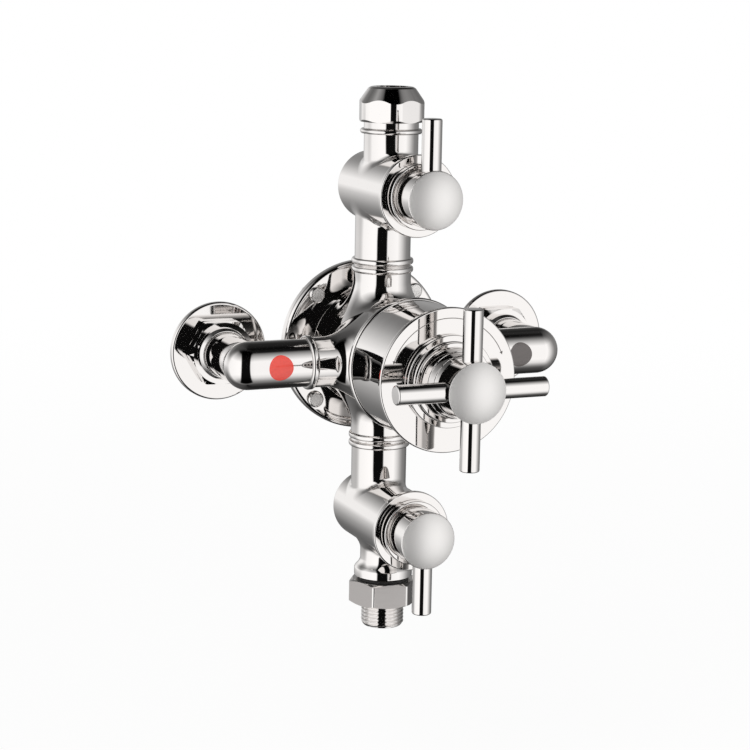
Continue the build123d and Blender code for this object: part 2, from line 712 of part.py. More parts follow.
# Riser connection on top of the upper valve
UP = (0, 0, 1)
DOWN = (0, 0, -1)
riser_axis = (0, -lever_outlet_depth, 0)
with BuildPart() as riser_adaptor:
    bead_end = upper_outlet_end + riser_bead_h
    rod(upper_spigot_r, upper_outlet_end - upper_spigot_len, upper_outlet_end, riser_axis, UP)
    turn([(0, upper_outlet_end), (riser_bead_r, upper_outlet_end), (riser_bead_r, bead_end),
          (riser_neck_r, bead_end), (riser_neck_r, riser_shoulder), (riser_thread_r, riser_shoulder),
          (riser_thread_r, riser_thread_end), (0, riser_thread_end)], riser_axis, UP,
         [((riser_bead_r, upper_outlet_end), riser_bead_edge), ((riser_bead_r, bead_end), riser_bead_edge)])
    rod(pipe_r, riser_thread_end - pipe_socket, riser_thread_end, riser_axis, UP, Mode.SUBTRACT)
    rod(pipe_stop_r, upper_outlet_end - upper_spigot_len, riser_thread_end, riser_axis, UP, Mode.SUBTRACT)
save(riser_adaptor, "riser_adaptor")

with BuildPart() as riser_nut:
    flat_r = riser_flats / 2
    olive_end = riser_thread_end + olive_len
    hexagon(riser_flats, riser_shoulder, riser_top, riser_axis, UP, riser_hex_turn)
    turn([(0, riser_shoulder), (flat_r, riser_shoulder), (riser_corner_r, riser_shoulder + hex_chamfer),
          (riser_corner_r, riser_shoulder + riser_hex_h), (riser_mouth_r, riser_top), (0, riser_top)],
         riser_axis, UP, mode=Mode.INTERSECT)
    rod(riser_thread_r + fit, riser_shoulder, olive_end, riser_axis, UP, Mode.SUBTRACT)
    rod(pipe_r, olive_end, riser_top, riser_axis, UP, Mode.SUBTRACT)
save(riser_nut, "riser_nut")

# Outlet connection below the lower valve
with BuildPart() as outlet_washer:
    ring(washer_r, lower_spigot_r + fit, lower_outlet_end, outlet_hex_start, riser_axis, DOWN)
save(outlet_washer, "outlet_washer")

with BuildPart() as outlet_adaptor:
    hexagon(outlet_flats, outlet_hex_start, outlet_hex_end, riser_axis, DOWN, outlet_hex_turn)
    chamfer_hexagon(outlet_flats, outlet_hex_start, outlet_hex_end, riser_axis, DOWN)
    spigot_start = lower_outlet_end - lower_spigot_len + thrust
    rod(lower_spigot_r, spigot_start, outlet_hex_start, riser_axis, DOWN)
    tip = outlet_end - outlet_thread_edge
    turn([(0, outlet_hex_end), (outlet_thread_r, outlet_hex_end), (outlet_thread_r, tip),
          (outlet_thread_r - outlet_thread_edge, outlet_end), (0, outlet_end)], riser_axis, DOWN)
    rod(outlet_bore_r, spigot_start, outlet_end, riser_axis, DOWN, Mode.SUBTRACT)
save(outlet_adaptor, "outlet_adaptor")

# Wall elbows with their nuts, plates, markers and check valves
for feed, s in SIDES:
    across = (s, 0, 0)
    run_base = (0, -inlet_depth, 0)
    leg_base = (s * inlet_x, 0, 0)

    with BuildPart() as elbow:
        with BuildSketch(side_plane(run_base, across)):
            with BuildLine():
                Polyline((0, inlet_stub_end), (elbow_r, inlet_stub_end), (elbow_r, inlet_x))
                ThreePointArc((elbow_r, inlet_x),
                              (elbow_r * cos(radians(45)), inlet_x + elbow_r * sin(radians(45))),
                              (0, inlet_x + elbow_r))
                Line((0, inlet_x + elbow_r), (0, inlet_stub_end))
            make_face()
        revolve(axis=Axis(run_base, across))
        rod(elbow_leg_r, leg_end, inlet_depth, leg_base, OUT)
        ring_end = inlet_stub_end + elbow_ring_w
        ring(elbow_ring_r, elbow_bore_r, inlet_stub_end, ring_end, run_base, across,
             [((elbow_ring_r, inlet_stub_end), elbow_ring_edge),
              ((elbow_ring_r, ring_end), elbow_ring_edge)])
        rod(elbow_spigot_r, inlet_stub_end - elbow_spigot_len, inlet_stub_end, run_base, across)
        rod(elbow_bore_r, inlet_stub_end - elbow_spigot_len, check_seat_x, run_base, across, Mode.SUBTRACT)
        rod(check_seat_r, check_seat_x, inlet_x, run_base, across, Mode.SUBTRACT)
        rod(pipe_stop_r, leg_end, inlet_depth, leg_base, OUT, Mode.SUBTRACT)
        rod(pipe_r, leg_end, leg_end + leg_socket, leg_base, OUT, Mode.SUBTRACT)
        rod(marker_r + fit, marker_floor, marker_front, (s * marker_x, 0, 0), OUT, Mode.SUBTRACT)
    save(elbow, f"{feed}_elbow")

    with BuildPart() as marker:
        rod(marker_r, marker_floor, marker_front, (s * marker_x, 0, 0), OUT)
        rod(elbow_r + marker_proud, inlet_stub_end, inlet_x, run_base, across, Mode.INTERSECT)
    save(marker, f"{feed}_marker")

    with BuildPart() as wall_plate:
        ring(plate_r, plate_hole_r, 0, plate_thick, leg_base, OUT, [((plate_r, plate_thick), plate_edge)])
    save(wall_plate, f"{feed}_wall_plate")

    with BuildPart() as inlet_nut:
        hex_top = plate_thick + inlet_hex_h
        hexagon(inlet_flats, plate_thick, hex_top, leg_base, OUT)
        chamfer_hexagon(inlet_flats, plate_thick, hex_top, leg_base, OUT)
        turn([(0, hex_top), (inlet_step_r, hex_top), (inlet_step_r, inlet_step_top),
              (elbow_leg_r + inlet_lip, inlet_nut_front), (0, inlet_nut_front)], leg_base, OUT)
        rod(elbow_leg_r + fit, plate_thick + inlet_nut_web, inlet_nut_front, leg_base, OUT, Mode.SUBTRACT)
        rod(pipe_r, plate_thick, inlet_nut_front, leg_base, OUT, Mode.SUBTRACT)
    save(inlet_nut, f"{feed}_inlet_nut")

    with BuildPart() as check_poppet:
        head_back = check_seat_x - poppet_thick
        rod(poppet_r, head_back, check_seat_x, run_base, across)
        rod(poppet_stem_r, head_back - poppet_stem_len, head_back, run_base, across)
    save(check_poppet, f"{feed}_check_poppet")

    with BuildPart() as check_guide:
        guide_r = elbow_bore_r - fit
        ring(guide_r, guide_r - guide_rim, guide_x, guide_front, run_base, across)
        with BuildSketch(Plane(origin=(s * guide_x, -inlet_depth, 0), x_dir=(0, 1, 0), z_dir=across)):
            Circle(guide_hub_r)
            Rectangle(2 * guide_r - guide_rim, guide_arm)
            Rectangle(guide_arm, 2 * guide_r - guide_rim)
        extrude(amount=guide_thick)
        rod(poppet_stem_r + run, guide_x, guide_front, run_base, across, Mode.SUBTRACT)
    save(check_guide, f"{feed}_check_guide")

    with BuildPart() as check_spring:
        coil(check_spring_r, check_wire_r, guide_front, head_back, check_turns, run_base, across)
    save(check_spring, f"{feed}_check_spring")

# Brass olives that grip the pipes inside the compression nuts
with BuildPart() as compression_olives:
    middle = olive_len / 2
    for base, along, start in ((riser_axis, UP, riser_thread_end),
                               ((-inlet_x, 0, 0), OUT, plate_thick + inlet_nut_web),
                               ((inlet_x, 0, 0), OUT, plate_thick + inlet_nut_web)):
        flank_r = olive_r - middle / 2
        turn([(pipe_r, start), (flank_r, start), (olive_r, start + middle), (flank_r, start + olive_len),
              (pipe_r, start + olive_len)], base, along)
save(compression_olives, "compression_olives")
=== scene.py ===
"""Looks for an exposed thermostatic shower valve: chromed brass castings, turned fittings and a studio.

Sizes in the code are in millimetres, in the same frame as the CAD part: X to the viewer's right, Z up, and
-Y out of the wall. Depths are distances out of the wall, and an outline is a list of (radius, distance)
pairs on an axis.
"""

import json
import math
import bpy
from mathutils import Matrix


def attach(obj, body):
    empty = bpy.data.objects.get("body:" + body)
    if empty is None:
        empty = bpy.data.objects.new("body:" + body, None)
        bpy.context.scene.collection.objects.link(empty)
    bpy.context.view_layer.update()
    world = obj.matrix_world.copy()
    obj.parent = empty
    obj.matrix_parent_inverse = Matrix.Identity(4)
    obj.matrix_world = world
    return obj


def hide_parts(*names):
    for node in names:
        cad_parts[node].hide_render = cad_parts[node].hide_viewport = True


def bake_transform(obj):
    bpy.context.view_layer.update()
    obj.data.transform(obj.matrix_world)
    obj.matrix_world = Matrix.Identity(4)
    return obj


bl_info = {
    "name": "Exposed Thermostatic Shower Valve",
    "version": (1, 0, 0),
    "blender": (4, 5, 0),
    "location": "View3D > Sidebar > Shower Valve",
    "description": "Models the chromed pieces of an exposed shower valve round its CAD frame",
    "category": "Object",
}

import bpy
from bpy.props import FloatProperty, FloatVectorProperty, IntProperty, PointerProperty
from mathutils import Vector

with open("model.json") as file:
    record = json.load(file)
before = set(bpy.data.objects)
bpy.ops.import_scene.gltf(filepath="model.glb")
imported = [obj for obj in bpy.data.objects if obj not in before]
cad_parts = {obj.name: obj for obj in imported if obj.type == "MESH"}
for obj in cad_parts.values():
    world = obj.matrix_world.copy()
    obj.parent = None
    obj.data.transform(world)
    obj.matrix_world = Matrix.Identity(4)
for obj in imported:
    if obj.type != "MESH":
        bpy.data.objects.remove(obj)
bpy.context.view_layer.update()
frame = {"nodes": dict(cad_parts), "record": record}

MM = 0.001
OUT = Vector((0, -1, 0))
UP = Vector((0, 0, 1))
DOWN = Vector((0, 0, -1))
LEFT = Vector((-1, 0, 0))
RIGHT = Vector((1, 0, 0))
CENTRE = Vector((0, 0, 0))
IMAGE_PIXELS = 750
SENSOR_WIDTH = 36.0
# Points of a turned mesh that lie nearer than this are one point
MERGE_WITHIN = 0.005
# A plain hexagonal nut has eight faces
HEXAGON_FACES = 8

# Sizes that several pieces share
BARREL_R = 27.5
LEVER_BARREL_R = 17.0
ELBOW_R = 11.4
NUT_FLATS = 30.0
NUT_BORE_R = 7.65
SCREW_OFFSET = 26.02
INLET_X = 75.0
MARKER_X = 62.0
INLET_DEPTH = 44.0
OUTLET_DEPTH = 26.5
LEVER_OUTLET_DEPTH = 34.5
LEVER_HEIGHT = 80.0
FLANGE_FRONT = 6.2
BODY_FRONT = 66.6
COLLAR_FRONT = 103.3
DIAL_FRONT = 106.3
BAR_DEPTH = 130.95
LEVER_DEPTH = 82.0
LEVELS = (("upper", UP), ("lower", DOWN))
FEEDS = (("hot", LEFT), ("cold", RIGHT))


def linear_colour(hex_value):
    """An sRGB hex value as a linear RGB triple."""
    channels = [int(hex_value[i:i + 2], 16) / 255 for i in (1, 3, 5)]
    return tuple(c / 12.92 if c <= 0.04045 else ((c + 0.055) / 1.055) ** 2.4 for c in channels)


class ValveSizes(bpy.types.PropertyGroup):
    """Sizes of the details that the CAD part leaves plain."""
    edge_round: FloatProperty(name="Edge Round", description="Radius of the knobs' edges", default=0.0004,
                              min=0.0001, max=0.001, unit="LENGTH", precision=5)
    segments: IntProperty(name="Segments", description="Faces round each turned piece", default=128, min=48,
                          max=192)
    thread_pitch: FloatProperty(name="Thread Pitch", description="Pitch of the half-inch outlet thread",
                                default=0.001814, min=0.001, max=0.003, unit="LENGTH", precision=5)
    arc_radius: FloatProperty(name="Dial Arc Radius", description="Radius of the dial's engraved arc",
                              default=0.0288, min=0.024, max=0.032, unit="LENGTH", precision=5)
    arc_width: FloatProperty(name="Dial Arc Width", description="Width of the engraved arc", default=0.0004,
                             min=0.0002, max=0.001, unit="LENGTH", precision=5)


class ValveFinish(bpy.types.PropertyGroup):
    """Colours and gloss of the finishes."""
    chrome: FloatVectorProperty(name="Chrome", description="Tint of the chrome plating", subtype="COLOR",
                                size=3, default=linear_colour("#E4E1DF"), min=0, max=1)
    chrome_gloss: FloatProperty(name="Chrome Roughness", description="Roughness of the polished chrome",
                                default=0.04, min=0, max=0.5, subtype="FACTOR")
    satin_gloss: FloatProperty(name="Satin Roughness", description="Roughness of the satin knob fronts",
                               default=0.55, min=0.1, max=0.8, subtype="FACTOR")
    satin: FloatVectorProperty(name="Satin Chrome", description="Tint of the satin knob fronts",
                               subtype="COLOR", size=3, default=linear_colour("#FBF9F7"), min=0, max=1)
    # The grey tint of the outlet's flats is painted shade: a darker chrome that stands in for the darker
    # reflections there
    flat_shade_tint: FloatVectorProperty(name="Flats Painted Grey", description="Tint of the outlet's milled flats",
                                  subtype="COLOR", size=3, default=linear_colour("#B2AEAC"), min=0, max=1)
    hot: FloatVectorProperty(name="Hot Marker", description="Enamel on the hot side", subtype="COLOR", size=3,
                             default=linear_colour("#E8493C"), min=0, max=1)
    cold: FloatVectorProperty(name="Cold Marker", description="Enamel on the cold side", subtype="COLOR",
                              size=3, default=linear_colour("#5A5452"), min=0, max=1)


# Mesh making


def clear_selection():
    """Leave edit mode with nothing selected."""
    if bpy.context.object and bpy.context.object.mode != "OBJECT":
        bpy.ops.object.mode_set(mode="OBJECT")
    bpy.ops.object.select_all(action="DESELECT")


def pick(piece):
    """Make one piece the only selected and active object."""
    clear_selection()
    piece.select_set(True)
    bpy.context.view_layer.objects.active = piece


def edit(piece):
    """Open one piece in edit mode with all of it selected."""
    pick(piece)
    bpy.ops.object.mode_set(mode="EDIT")
    bpy.ops.mesh.select_all(action="SELECT")


def close_shape():
    """Merge the doubled points of the mesh in edit mode, fill its open ends and turn its faces outwards."""
    bpy.ops.mesh.select_all(action="SELECT")
    bpy.ops.mesh.remove_doubles(threshold=MERGE_WITHIN * MM)
    bpy.ops.mesh.select_all(action="DESELECT")
    bpy.ops.mesh.select_non_manifold(extend=False)
    bpy.ops.mesh.fill_holes(sides=0)
    bpy.ops.mesh.select_all(action="SELECT")
    bpy.ops.mesh.normals_make_consistent(inside=False)
    bpy.ops.object.mode_set(mode="OBJECT")


def turned(name, base, along, outline, segments=0):
    """Turn an outline about an axis ring by ring, and close its ends. The outline starts off the axis."""
    segments = segments or bpy.context.scene.valve_sizes.segments
    rings = [(radius * MM, (base + along * distance) * MM) for radius, distance in outline]
    clear_selection()
    bpy.ops.mesh.primitive_circle_add(vertices=segments, radius=rings[0][0], fill_type="NOTHING",
                                      location=rings[0][1], rotation=along.to_track_quat("Z", "Y").to_euler())
    piece = bpy.context.object
    piece.name = name
    bpy.ops.object.transform_apply(location=True, rotation=True, scale=True)
    bpy.ops.object.mode_set(mode="EDIT")
    bpy.ops.mesh.select_mode(type="EDGE")
    bpy.ops.mesh.select_all(action="SELECT")
    for (last_r, last_place), (radius, place) in zip(rings, rings[1:]):
        bpy.ops.mesh.extrude_region_move(TRANSFORM_OT_translate={"value": place - last_place})
        bpy.ops.transform.resize(value=(radius / last_r,) * 3, center_override=place)
    close_shape()
    return piece


def dome(radius, start, height, steps):
    """The rings of a shallow spherical cap, from its rim to its top."""
    ball_r = (radius ** 2 + height ** 2) / (2 * height)
    half = math.asin(radius / ball_r)
    angles = [half * (1 - step / steps) for step in range(steps + 1)]
    return [(ball_r * math.sin(a), start + height - ball_r + ball_r * math.cos(a)) for a in angles]


def arc(middle, radius, first, last, steps=6):
    """Points on a round corner of an outline, from one angle to another in degrees."""
    angles = [math.radians(first + (last - first) * step / steps) for step in range(steps + 1)]
    return [(middle[0] + radius * math.cos(a), middle[1] + radius * math.sin(a)) for a in angles]


def plain_ring(inner_r, outer_r, start, end):
    """The closed outline of a ring with a square section."""
    return [(inner_r, start), (outer_r, start), (outer_r, end), (inner_r, end), (inner_r, start)]


def soften(piece, width=0.0, angle=24, steps=3):
    """Round the sharp edges, by the Edge Round size if no width is given, and shade flats and turns true."""
    pick(piece)
    bpy.ops.object.shade_smooth()
    bpy.ops.object.modifier_add(type="BEVEL")
    bevel = piece.modifiers[-1]
    bevel.width = width * MM or bpy.context.scene.valve_sizes.edge_round
    bevel.segments = steps
    bevel.limit_method = "ANGLE"
    bevel.angle_limit = math.radians(angle)
    bpy.ops.object.modifier_apply(modifier=bevel.name)
    bpy.ops.object.modifier_add(type="WEIGHTED_NORMAL")
    piece.modifiers[-1].weight = 80
    bpy.ops.object.modifier_apply(modifier=piece.modifiers[-1].name)
    return piece


def cut_with(piece, tool, operation):
    """Combine a piece with a tool shape, which is then removed."""
    pick(piece)
    bpy.ops.object.modifier_add(type="BOOLEAN")
    cut = piece.modifiers[-1]
    cut.operation = operation
    cut.object = tool
    cut.solver = "EXACT"
    bpy.ops.object.modifier_apply(modifier=cut.name)
    bpy.data.meshes.remove(tool.data)
    if len(piece.data.polygons) < HEXAGON_FACES:
        raise RuntimeError(f"The cut left nothing of {piece.name}")


def joined(name, pieces):
    """Join finished shapes into one piece."""
    clear_selection()
    for shape in pieces:
        shape.select_set(True)
    bpy.context.view_layer.objects.active = pieces[0]
    bpy.ops.object.join()
    pieces[0].name = name
    return pieces[0]


def hex_nut(name, base, along, start, end, spin, turned_to, bore_r, corner=0.8):
    """A hexagonal nut with rounded corners, whose ends are turned to an outline, with a hole through it."""
    corner_r = NUT_FLATS / 2 / math.cos(math.radians(30))
    # The blank and the drill stand out at both ends, so that no two faces of a cut lie in one plane
    blank_over, drill_over = 1.5, 9
    blank = [(corner_r, start - blank_over), (corner_r, end + blank_over)]
    drill = [(bore_r, start - drill_over), (bore_r, end + drill_over)]
    nut = turned(name, base, along, blank, segments=6)
    edit(nut)
    axis = "Z" if abs(along.z) > 0.5 else "Y"
    bpy.ops.transform.rotate(value=math.radians(spin), orient_axis=axis, center_override=base * MM)
    bpy.ops.mesh.select_all(action="DESELECT")
    bpy.ops.object.mode_set(mode="OBJECT")
    for edge in nut.data.edges:
        first, last = (nut.data.vertices[i].co for i in edge.vertices)
        edge.select = abs((last - first).normalized().dot(along)) > 0.9
    bpy.ops.object.mode_set(mode="EDIT")
    bpy.ops.mesh.bevel(offset=corner * MM, segments=6)
    bpy.ops.object.mode_set(mode="OBJECT")
    cut_with(nut, turned(f"{name}_turning", base, along, turned_to), "INTERSECT")
    cut_with(nut, turned(f"{name}_drill", base, along, drill), "DIFFERENCE")
    return soften(nut, 0.3, 20, 2)


def nut_turning(start, end, chamfer=1.6):
    """The outline that takes the corners off both ends of a hexagonal nut."""
    flat_r = NUT_FLATS / 2
    wide_r = flat_r + 2 * chamfer
    return [(flat_r, start), (wide_r, start + chamfer), (wide_r, end - chamfer), (flat_r, end)]


def saddle_stub(name, base, along, outer, barrel_r, blend, root=None, wide=0.0):
    """A stub that grows out of a barrel lying along the depth, with a fillet that follows the barrel round.

    outer is the stub's outline from its free end inwards, and root the (radius, height) where it ends inside.
    The fillet's radius is blend along the barrel, and grows by wide round it. Rings are extruded a millimetre
    apart, and each is then laid on the fillet, because its height changes all the way round."""
    stub_r = outer[-1][0]
    steps = 12
    rows = [lambda across, r=r, h=h: (r, h) for r, h in outer]

    def fillet(across, reach, lift, spread=0.0, sink=0.0):
        """The (radius, height) of a ring on the fillet, where it lies so far across the barrel."""
        radius = blend + wide * across ** 2
        r = stub_r + radius * reach + spread
        return r, math.sqrt(max(barrel_r ** 2 - (r * across) ** 2, 0)) + radius * lift - sink

    for step in range(steps + 1):
        turn = math.pi / 2 * (1 - step / steps)
        rows.append(lambda across, t=turn: fillet(across, 1 - math.sin(t), 1 - math.cos(t)))
    # The fillet's edge runs on just below the barrel's surface, so that no gap shows
    rows.append(lambda across: fillet(across, 1, 0, spread=0.3, sink=0.06))
    rows.append(lambda across: root or (stub_r / 2, barrel_r / 3))
    stub = turned(name, base, along, [(stub_r, -step) for step in range(len(rows))])
    side = along.cross(OUT)
    for vertex in stub.data.vertices:
        place = vertex.co / MM - base
        row = rows[round(-place.dot(along))]
        flat = place - along * place.dot(along)
        flat.normalize()
        radius, height = row(flat.dot(side))
        vertex.co = (base + flat * radius + along * height) * MM
    edit(stub)
    bpy.ops.mesh.normals_make_consistent(inside=False)
    bpy.ops.object.mode_set(mode="OBJECT")
    bpy.ops.object.shade_smooth_by_angle(angle=math.radians(40))
    return stub


def thread(name, base, along, major_r, depth, pitch, start, end, inner_r, lead=1.2):
    """A turned thread: fine rings whose radius follows the helix, with a chamfered free end."""
    rings_per_turn, run_in = 12, 1.5
    count = round((end - start) / (pitch / rings_per_turn))
    rings = [(major_r, start + (end - start) * step / count) for step in range(count + 1)]
    outline = [(inner_r, start - run_in), (major_r - depth, start - run_in), *rings, (inner_r, end)]
    screw = turned(name, base, along, outline if inner_r < 0.5 else [*outline, outline[0]])
    side = along.orthogonal()
    other = along.cross(side)
    for vertex in screw.data.vertices:
        place = vertex.co / MM - base
        distance = place.dot(along)
        flat = place - along * distance
        if distance < start - 0.01 or flat.length < major_r - 0.01:
            continue
        # A wave that climbs with the angle, from 0 in the root to 1 on the crest, flattened at both
        angle = math.atan2(flat.dot(other), flat.dot(side)) / (2 * math.pi)
        wave = abs((distance / pitch - angle) % 1 * 2 - 1)
        crest = min(max(wave * 1.5 - 0.25, 0), 1)
        radius = min(major_r - depth * (1 - crest), major_r - depth * 1.1 + (end - distance) * depth / lead)
        vertex.co = (base + along * distance + flat * (radius / flat.length)) * MM
    pick(screw)
    bpy.ops.object.shade_smooth_by_angle(angle=math.radians(50))
    return screw


def dress(piece, node, body="valve", material=None):
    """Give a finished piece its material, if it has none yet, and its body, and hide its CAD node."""
    if not piece.data.materials:
        piece.data.materials.append(material or polished_chrome())
    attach(piece, body)
    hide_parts(node)


def second_finish(piece, first, second, chosen):
    """Give the faces that chosen(centre in mm, normal) picks the second material, the rest the first."""
    piece.data.materials.append(first)
    piece.data.materials.append(second)
    for face in piece.data.polygons:
        face.material_index = int(chosen(face.center / MM, face.normal))


# Finishes


def add_node(tree, kind, settings=None, **links):
    """Add a node, set its values and link its inputs: by name with _ for a space, or by i and a number."""
    node = tree.nodes.new(kind)
    for key, value in (settings or {}).items():
        if key in node.bl_rna.properties:
            setattr(node, key, value)
        else:
            node.inputs[key].default_value = value
    for key, source in links.items():
        tree.links.new(source, node.inputs[int(key[1:]) if key[0] == "i" and key[1:].isdigit()
                                           else key.replace("_", " ")])
    return node


def new_finish(name, colour, **values):
    """A material with one shader, whose constants are set on its sockets. If it exists, it comes alone."""
    material = bpy.data.materials.get(name)
    if material:
        return material, None, None
    material = bpy.data.materials.new(name)
    material.use_nodes = True
    tree = material.node_tree
    shader = tree.nodes["Principled BSDF"]
    shader.inputs["Base Color"].default_value = (*colour, 1)
    for key, value in values.items():
        shader.inputs[key.replace("_", " ")].default_value = value
    return material, tree, shader


def noise(tree, scale, detail):
    """A noise over the piece's own coordinates, so many patches to the metre."""
    place = add_node(tree, "ShaderNodeTexCoord").outputs["Object"]
    node = add_node(tree, "ShaderNodeTexNoise", {"Scale": scale, "Detail": detail}, Vector=place)
    return node.outputs["Fac"]


def product(tree, first, second):
    """The product of two values."""
    return add_node(tree, "ShaderNodeMath", {"operation": "MULTIPLY"}, i0=first, i1=second).outputs[0]


def vary_gloss(tree, shader, factor, low, high):
    """Let the roughness follow a 0 to 1 factor between two values."""
    gloss = add_node(tree, "ShaderNodeMapRange", {"To Min": low, "To Max": high}, Value=factor)
    tree.links.new(gloss.outputs["Result"], shader.inputs["Roughness"])


def emboss(tree, shader, height, strength, distance):
    """Let a 0 to 1 height raise the surface by a distance in metres."""
    bump = add_node(tree, "ShaderNodeBump", {"Strength": strength, "Distance": distance}, Height=height)
    tree.links.new(bump.outputs["Normal"], shader.inputs["Normal"])


def vary_colour(tree, shader, factor, first, second):
    """Let the colour follow a 0 to 1 factor between two colours."""
    colours = add_node(tree, "ShaderNodeMix", {"data_type": "RGBA"}, Factor=factor)
    colours.inputs[6].default_value = (*first, 1)
    colours.inputs[7].default_value = (*second, 1)
    tree.links.new(colours.outputs[2], shader.inputs["Base Color"])


def polished_chrome():
    """Chrome plated on polished brass: a mirror with a slow waviness that the buffing wheel leaves."""
    finish = bpy.context.scene.valve_finish
    material, tree, shader = new_finish("polished_chromed_brass", finish.chrome, Metallic=1.0)
    if tree:
        # Buffing leaves hills about 9 mm across. A smear of dried water is about 4 mm across
        gloss = finish.chrome_gloss
        vary_gloss(tree, shader, noise(tree, 250.0, 3.0), gloss * 0.6, gloss * 1.4)
        emboss(tree, shader, noise(tree, 110.0, 1.0), 0.04, 0.0004)
    return material


def satin_chrome():
    """Chrome plated on bead-blasted brass: a soft bright face with a fine grit."""
    finish = bpy.context.scene.valve_finish
    material, tree, shader = new_finish("satin_chromed_brass", finish.satin, Metallic=1.0)
    if tree:
        # Real blasting grit is about 0.1 mm. It is drawn at 0.4 mm so that it shows
        grit = noise(tree, 2500.0, 2.0)
        gloss = finish.satin_gloss
        vary_gloss(tree, shader, grit, gloss * 0.85, gloss * 1.15)
        emboss(tree, shader, grit, 0.05, 0.0001)
    return material


def shaded_flat_chrome():
    """Chrome plated on milled, unpolished brass: the fine mill marks scatter light. Its grey colour is
    painted shade, darker than the polished chrome.
    """
    finish = bpy.context.scene.valve_finish
    material, tree, shader = new_finish("milled_chrome_painted_grey", finish.flat_shade_tint, Metallic=1.0)
    if tree:
        place = add_node(tree, "ShaderNodeTexCoord").outputs["Object"]
        # Mill marks run round the hexagon about 0.15 mm apart. They are drawn at 0.5 mm so that they show
        lie = add_node(tree, "ShaderNodeMapping", {"Scale": (100.0, 100.0, 2000.0)}, Vector=place)
        marks = add_node(tree, "ShaderNodeTexNoise", {"Scale": 1.0, "Detail": 2.0},
                         Vector=lie.outputs["Vector"])
        vary_gloss(tree, shader, marks.outputs["Fac"], 0.24, 0.38)
        emboss(tree, shader, marks.outputs["Fac"], 0.05, 0.0001)
    return material


def mottled(name, first, second, patch_size, rough, **values):
    """A plain finish whose colour and gloss vary a little over patches of a given size in millimetres."""
    first, second = linear_colour(first), linear_colour(second)
    material, tree, shader = new_finish(name, first, **values)
    if tree:
        patch = noise(tree, 1000.0 / patch_size, 3.0)
        vary_colour(tree, shader, patch, first, second)
        vary_gloss(tree, shader, patch, rough * 0.8, rough * 1.2)
    return material


def enamel(name, colour):
    """Stove enamel in a shallow pocket: an even gloss colour with a faint orange peel."""
    material, tree, shader = new_finish(name, colour, Roughness=0.22, Coat_Weight=0.4, Coat_Roughness=0.05)
    if tree:
        # Orange peel on stove enamel is about 1 mm from crest to crest
        peel = noise(tree, 1000.0, 1.0)
        vary_colour(tree, shader, peel, [c * 0.92 for c in colour], [min(c * 1.08, 1) for c in colour])
        emboss(tree, shader, peel, 0.06, 0.0001)
    return material


def inner_finishes():
    """The finishes of the working pieces, by the record's slot names."""
    return {
        "chrome": polished_chrome(),
        "satin_chrome": satin_chrome(),
        # Turned brass: warm yellow metal with faint tarnish in 3 mm patches
        "brass": mottled("turned_brass", "#C9A557", "#B48E45", 3, 0.24, Metallic=1.0),
        # Stainless spring wire and screws: bright grey drawn metal
        "steel": mottled("drawn_steel", "#C4C4C2", "#A9A9A8", 2, 0.28, Metallic=1.0),
        # Nitrile rubber: nearly black and matt, with a faint bloom
        "rubber": mottled("nitrile_rubber", "#1E1D1D", "#2B2A29", 2, 0.62),
        # Acetal: moulded milky white plastic with a waxy sheen
        "acetal": mottled("moulded_acetal", "#EDEBE4", "#E2DFD6", 4, 0.38),
        # Alumina ceramic: lapped flat, ivory white and smooth
        "ceramic": mottled("lapped_alumina", "#F1EEE6", "#E8E4DA", 3, 0.2),
    }


# Pieces


class VALVE_OT_wall_flange(bpy.types.Operator):
    """Model the wall flange and its four screws"""
    bl_idname = "valve.wall_flange"
    bl_label = "Wall Flange"

    def execute(self, context):
        front = FLANGE_FRONT
        bore_r, flat_r, edge_r, edge_round, fall = 22.1, 26.0, 40.1, 2.2, 0.9
        # The face is pressed slightly domed: it falls 0.9 mm from inside the screws to its edge
        domed = [(r, front - fall * ((r - flat_r) / (edge_r - flat_r)) ** 2)
                 for r in (38.5, 36.0, 33.5, 31.0, 28.5, flat_r)]
        edge = arc((edge_r, front - fall - edge_round), edge_round, 0, 83)
        outline = [(bore_r, 0.0), (edge_r + edge_round, 0.0), *edge, *domed, (bore_r, front), (bore_r, 0.0)]
        flange = soften(turned("flange_disc", CENTRE, OUT, outline), 0.3)
        dress(flange, "wall_flange")
        screws = []
        seat = front - 0.5
        for x, z in ((1, 1), (1, -1), (-1, 1), (-1, -1)):
            base = Vector((x, 0, z)) * SCREW_OFFSET
            head = [(2.6, 0.3), (2.6, seat), (4.0, seat), *arc((2.7, seat + 1.2), 1.3, 0, 90),
                    *dome(2.6, seat + 2.5, 0.1, 4)]
            screws.append(soften(turned("screw_head", base, OUT, head, 64), 0.15))
            screws.append(thread("screw_thread", base, -OUT, 2.2, 0.5, 1.6, 0.0, 10.5, 0.3, 3.0))
        screw_set = joined("flange_screw_set", screws)
        second_finish(screw_set, polished_chrome(), satin_chrome(),
                      lambda centre, normal: normal.y < -0.8 and centre.y < -front - 1.0)
        dress(screw_set, "flange_screws")
        return {"FINISHED"}


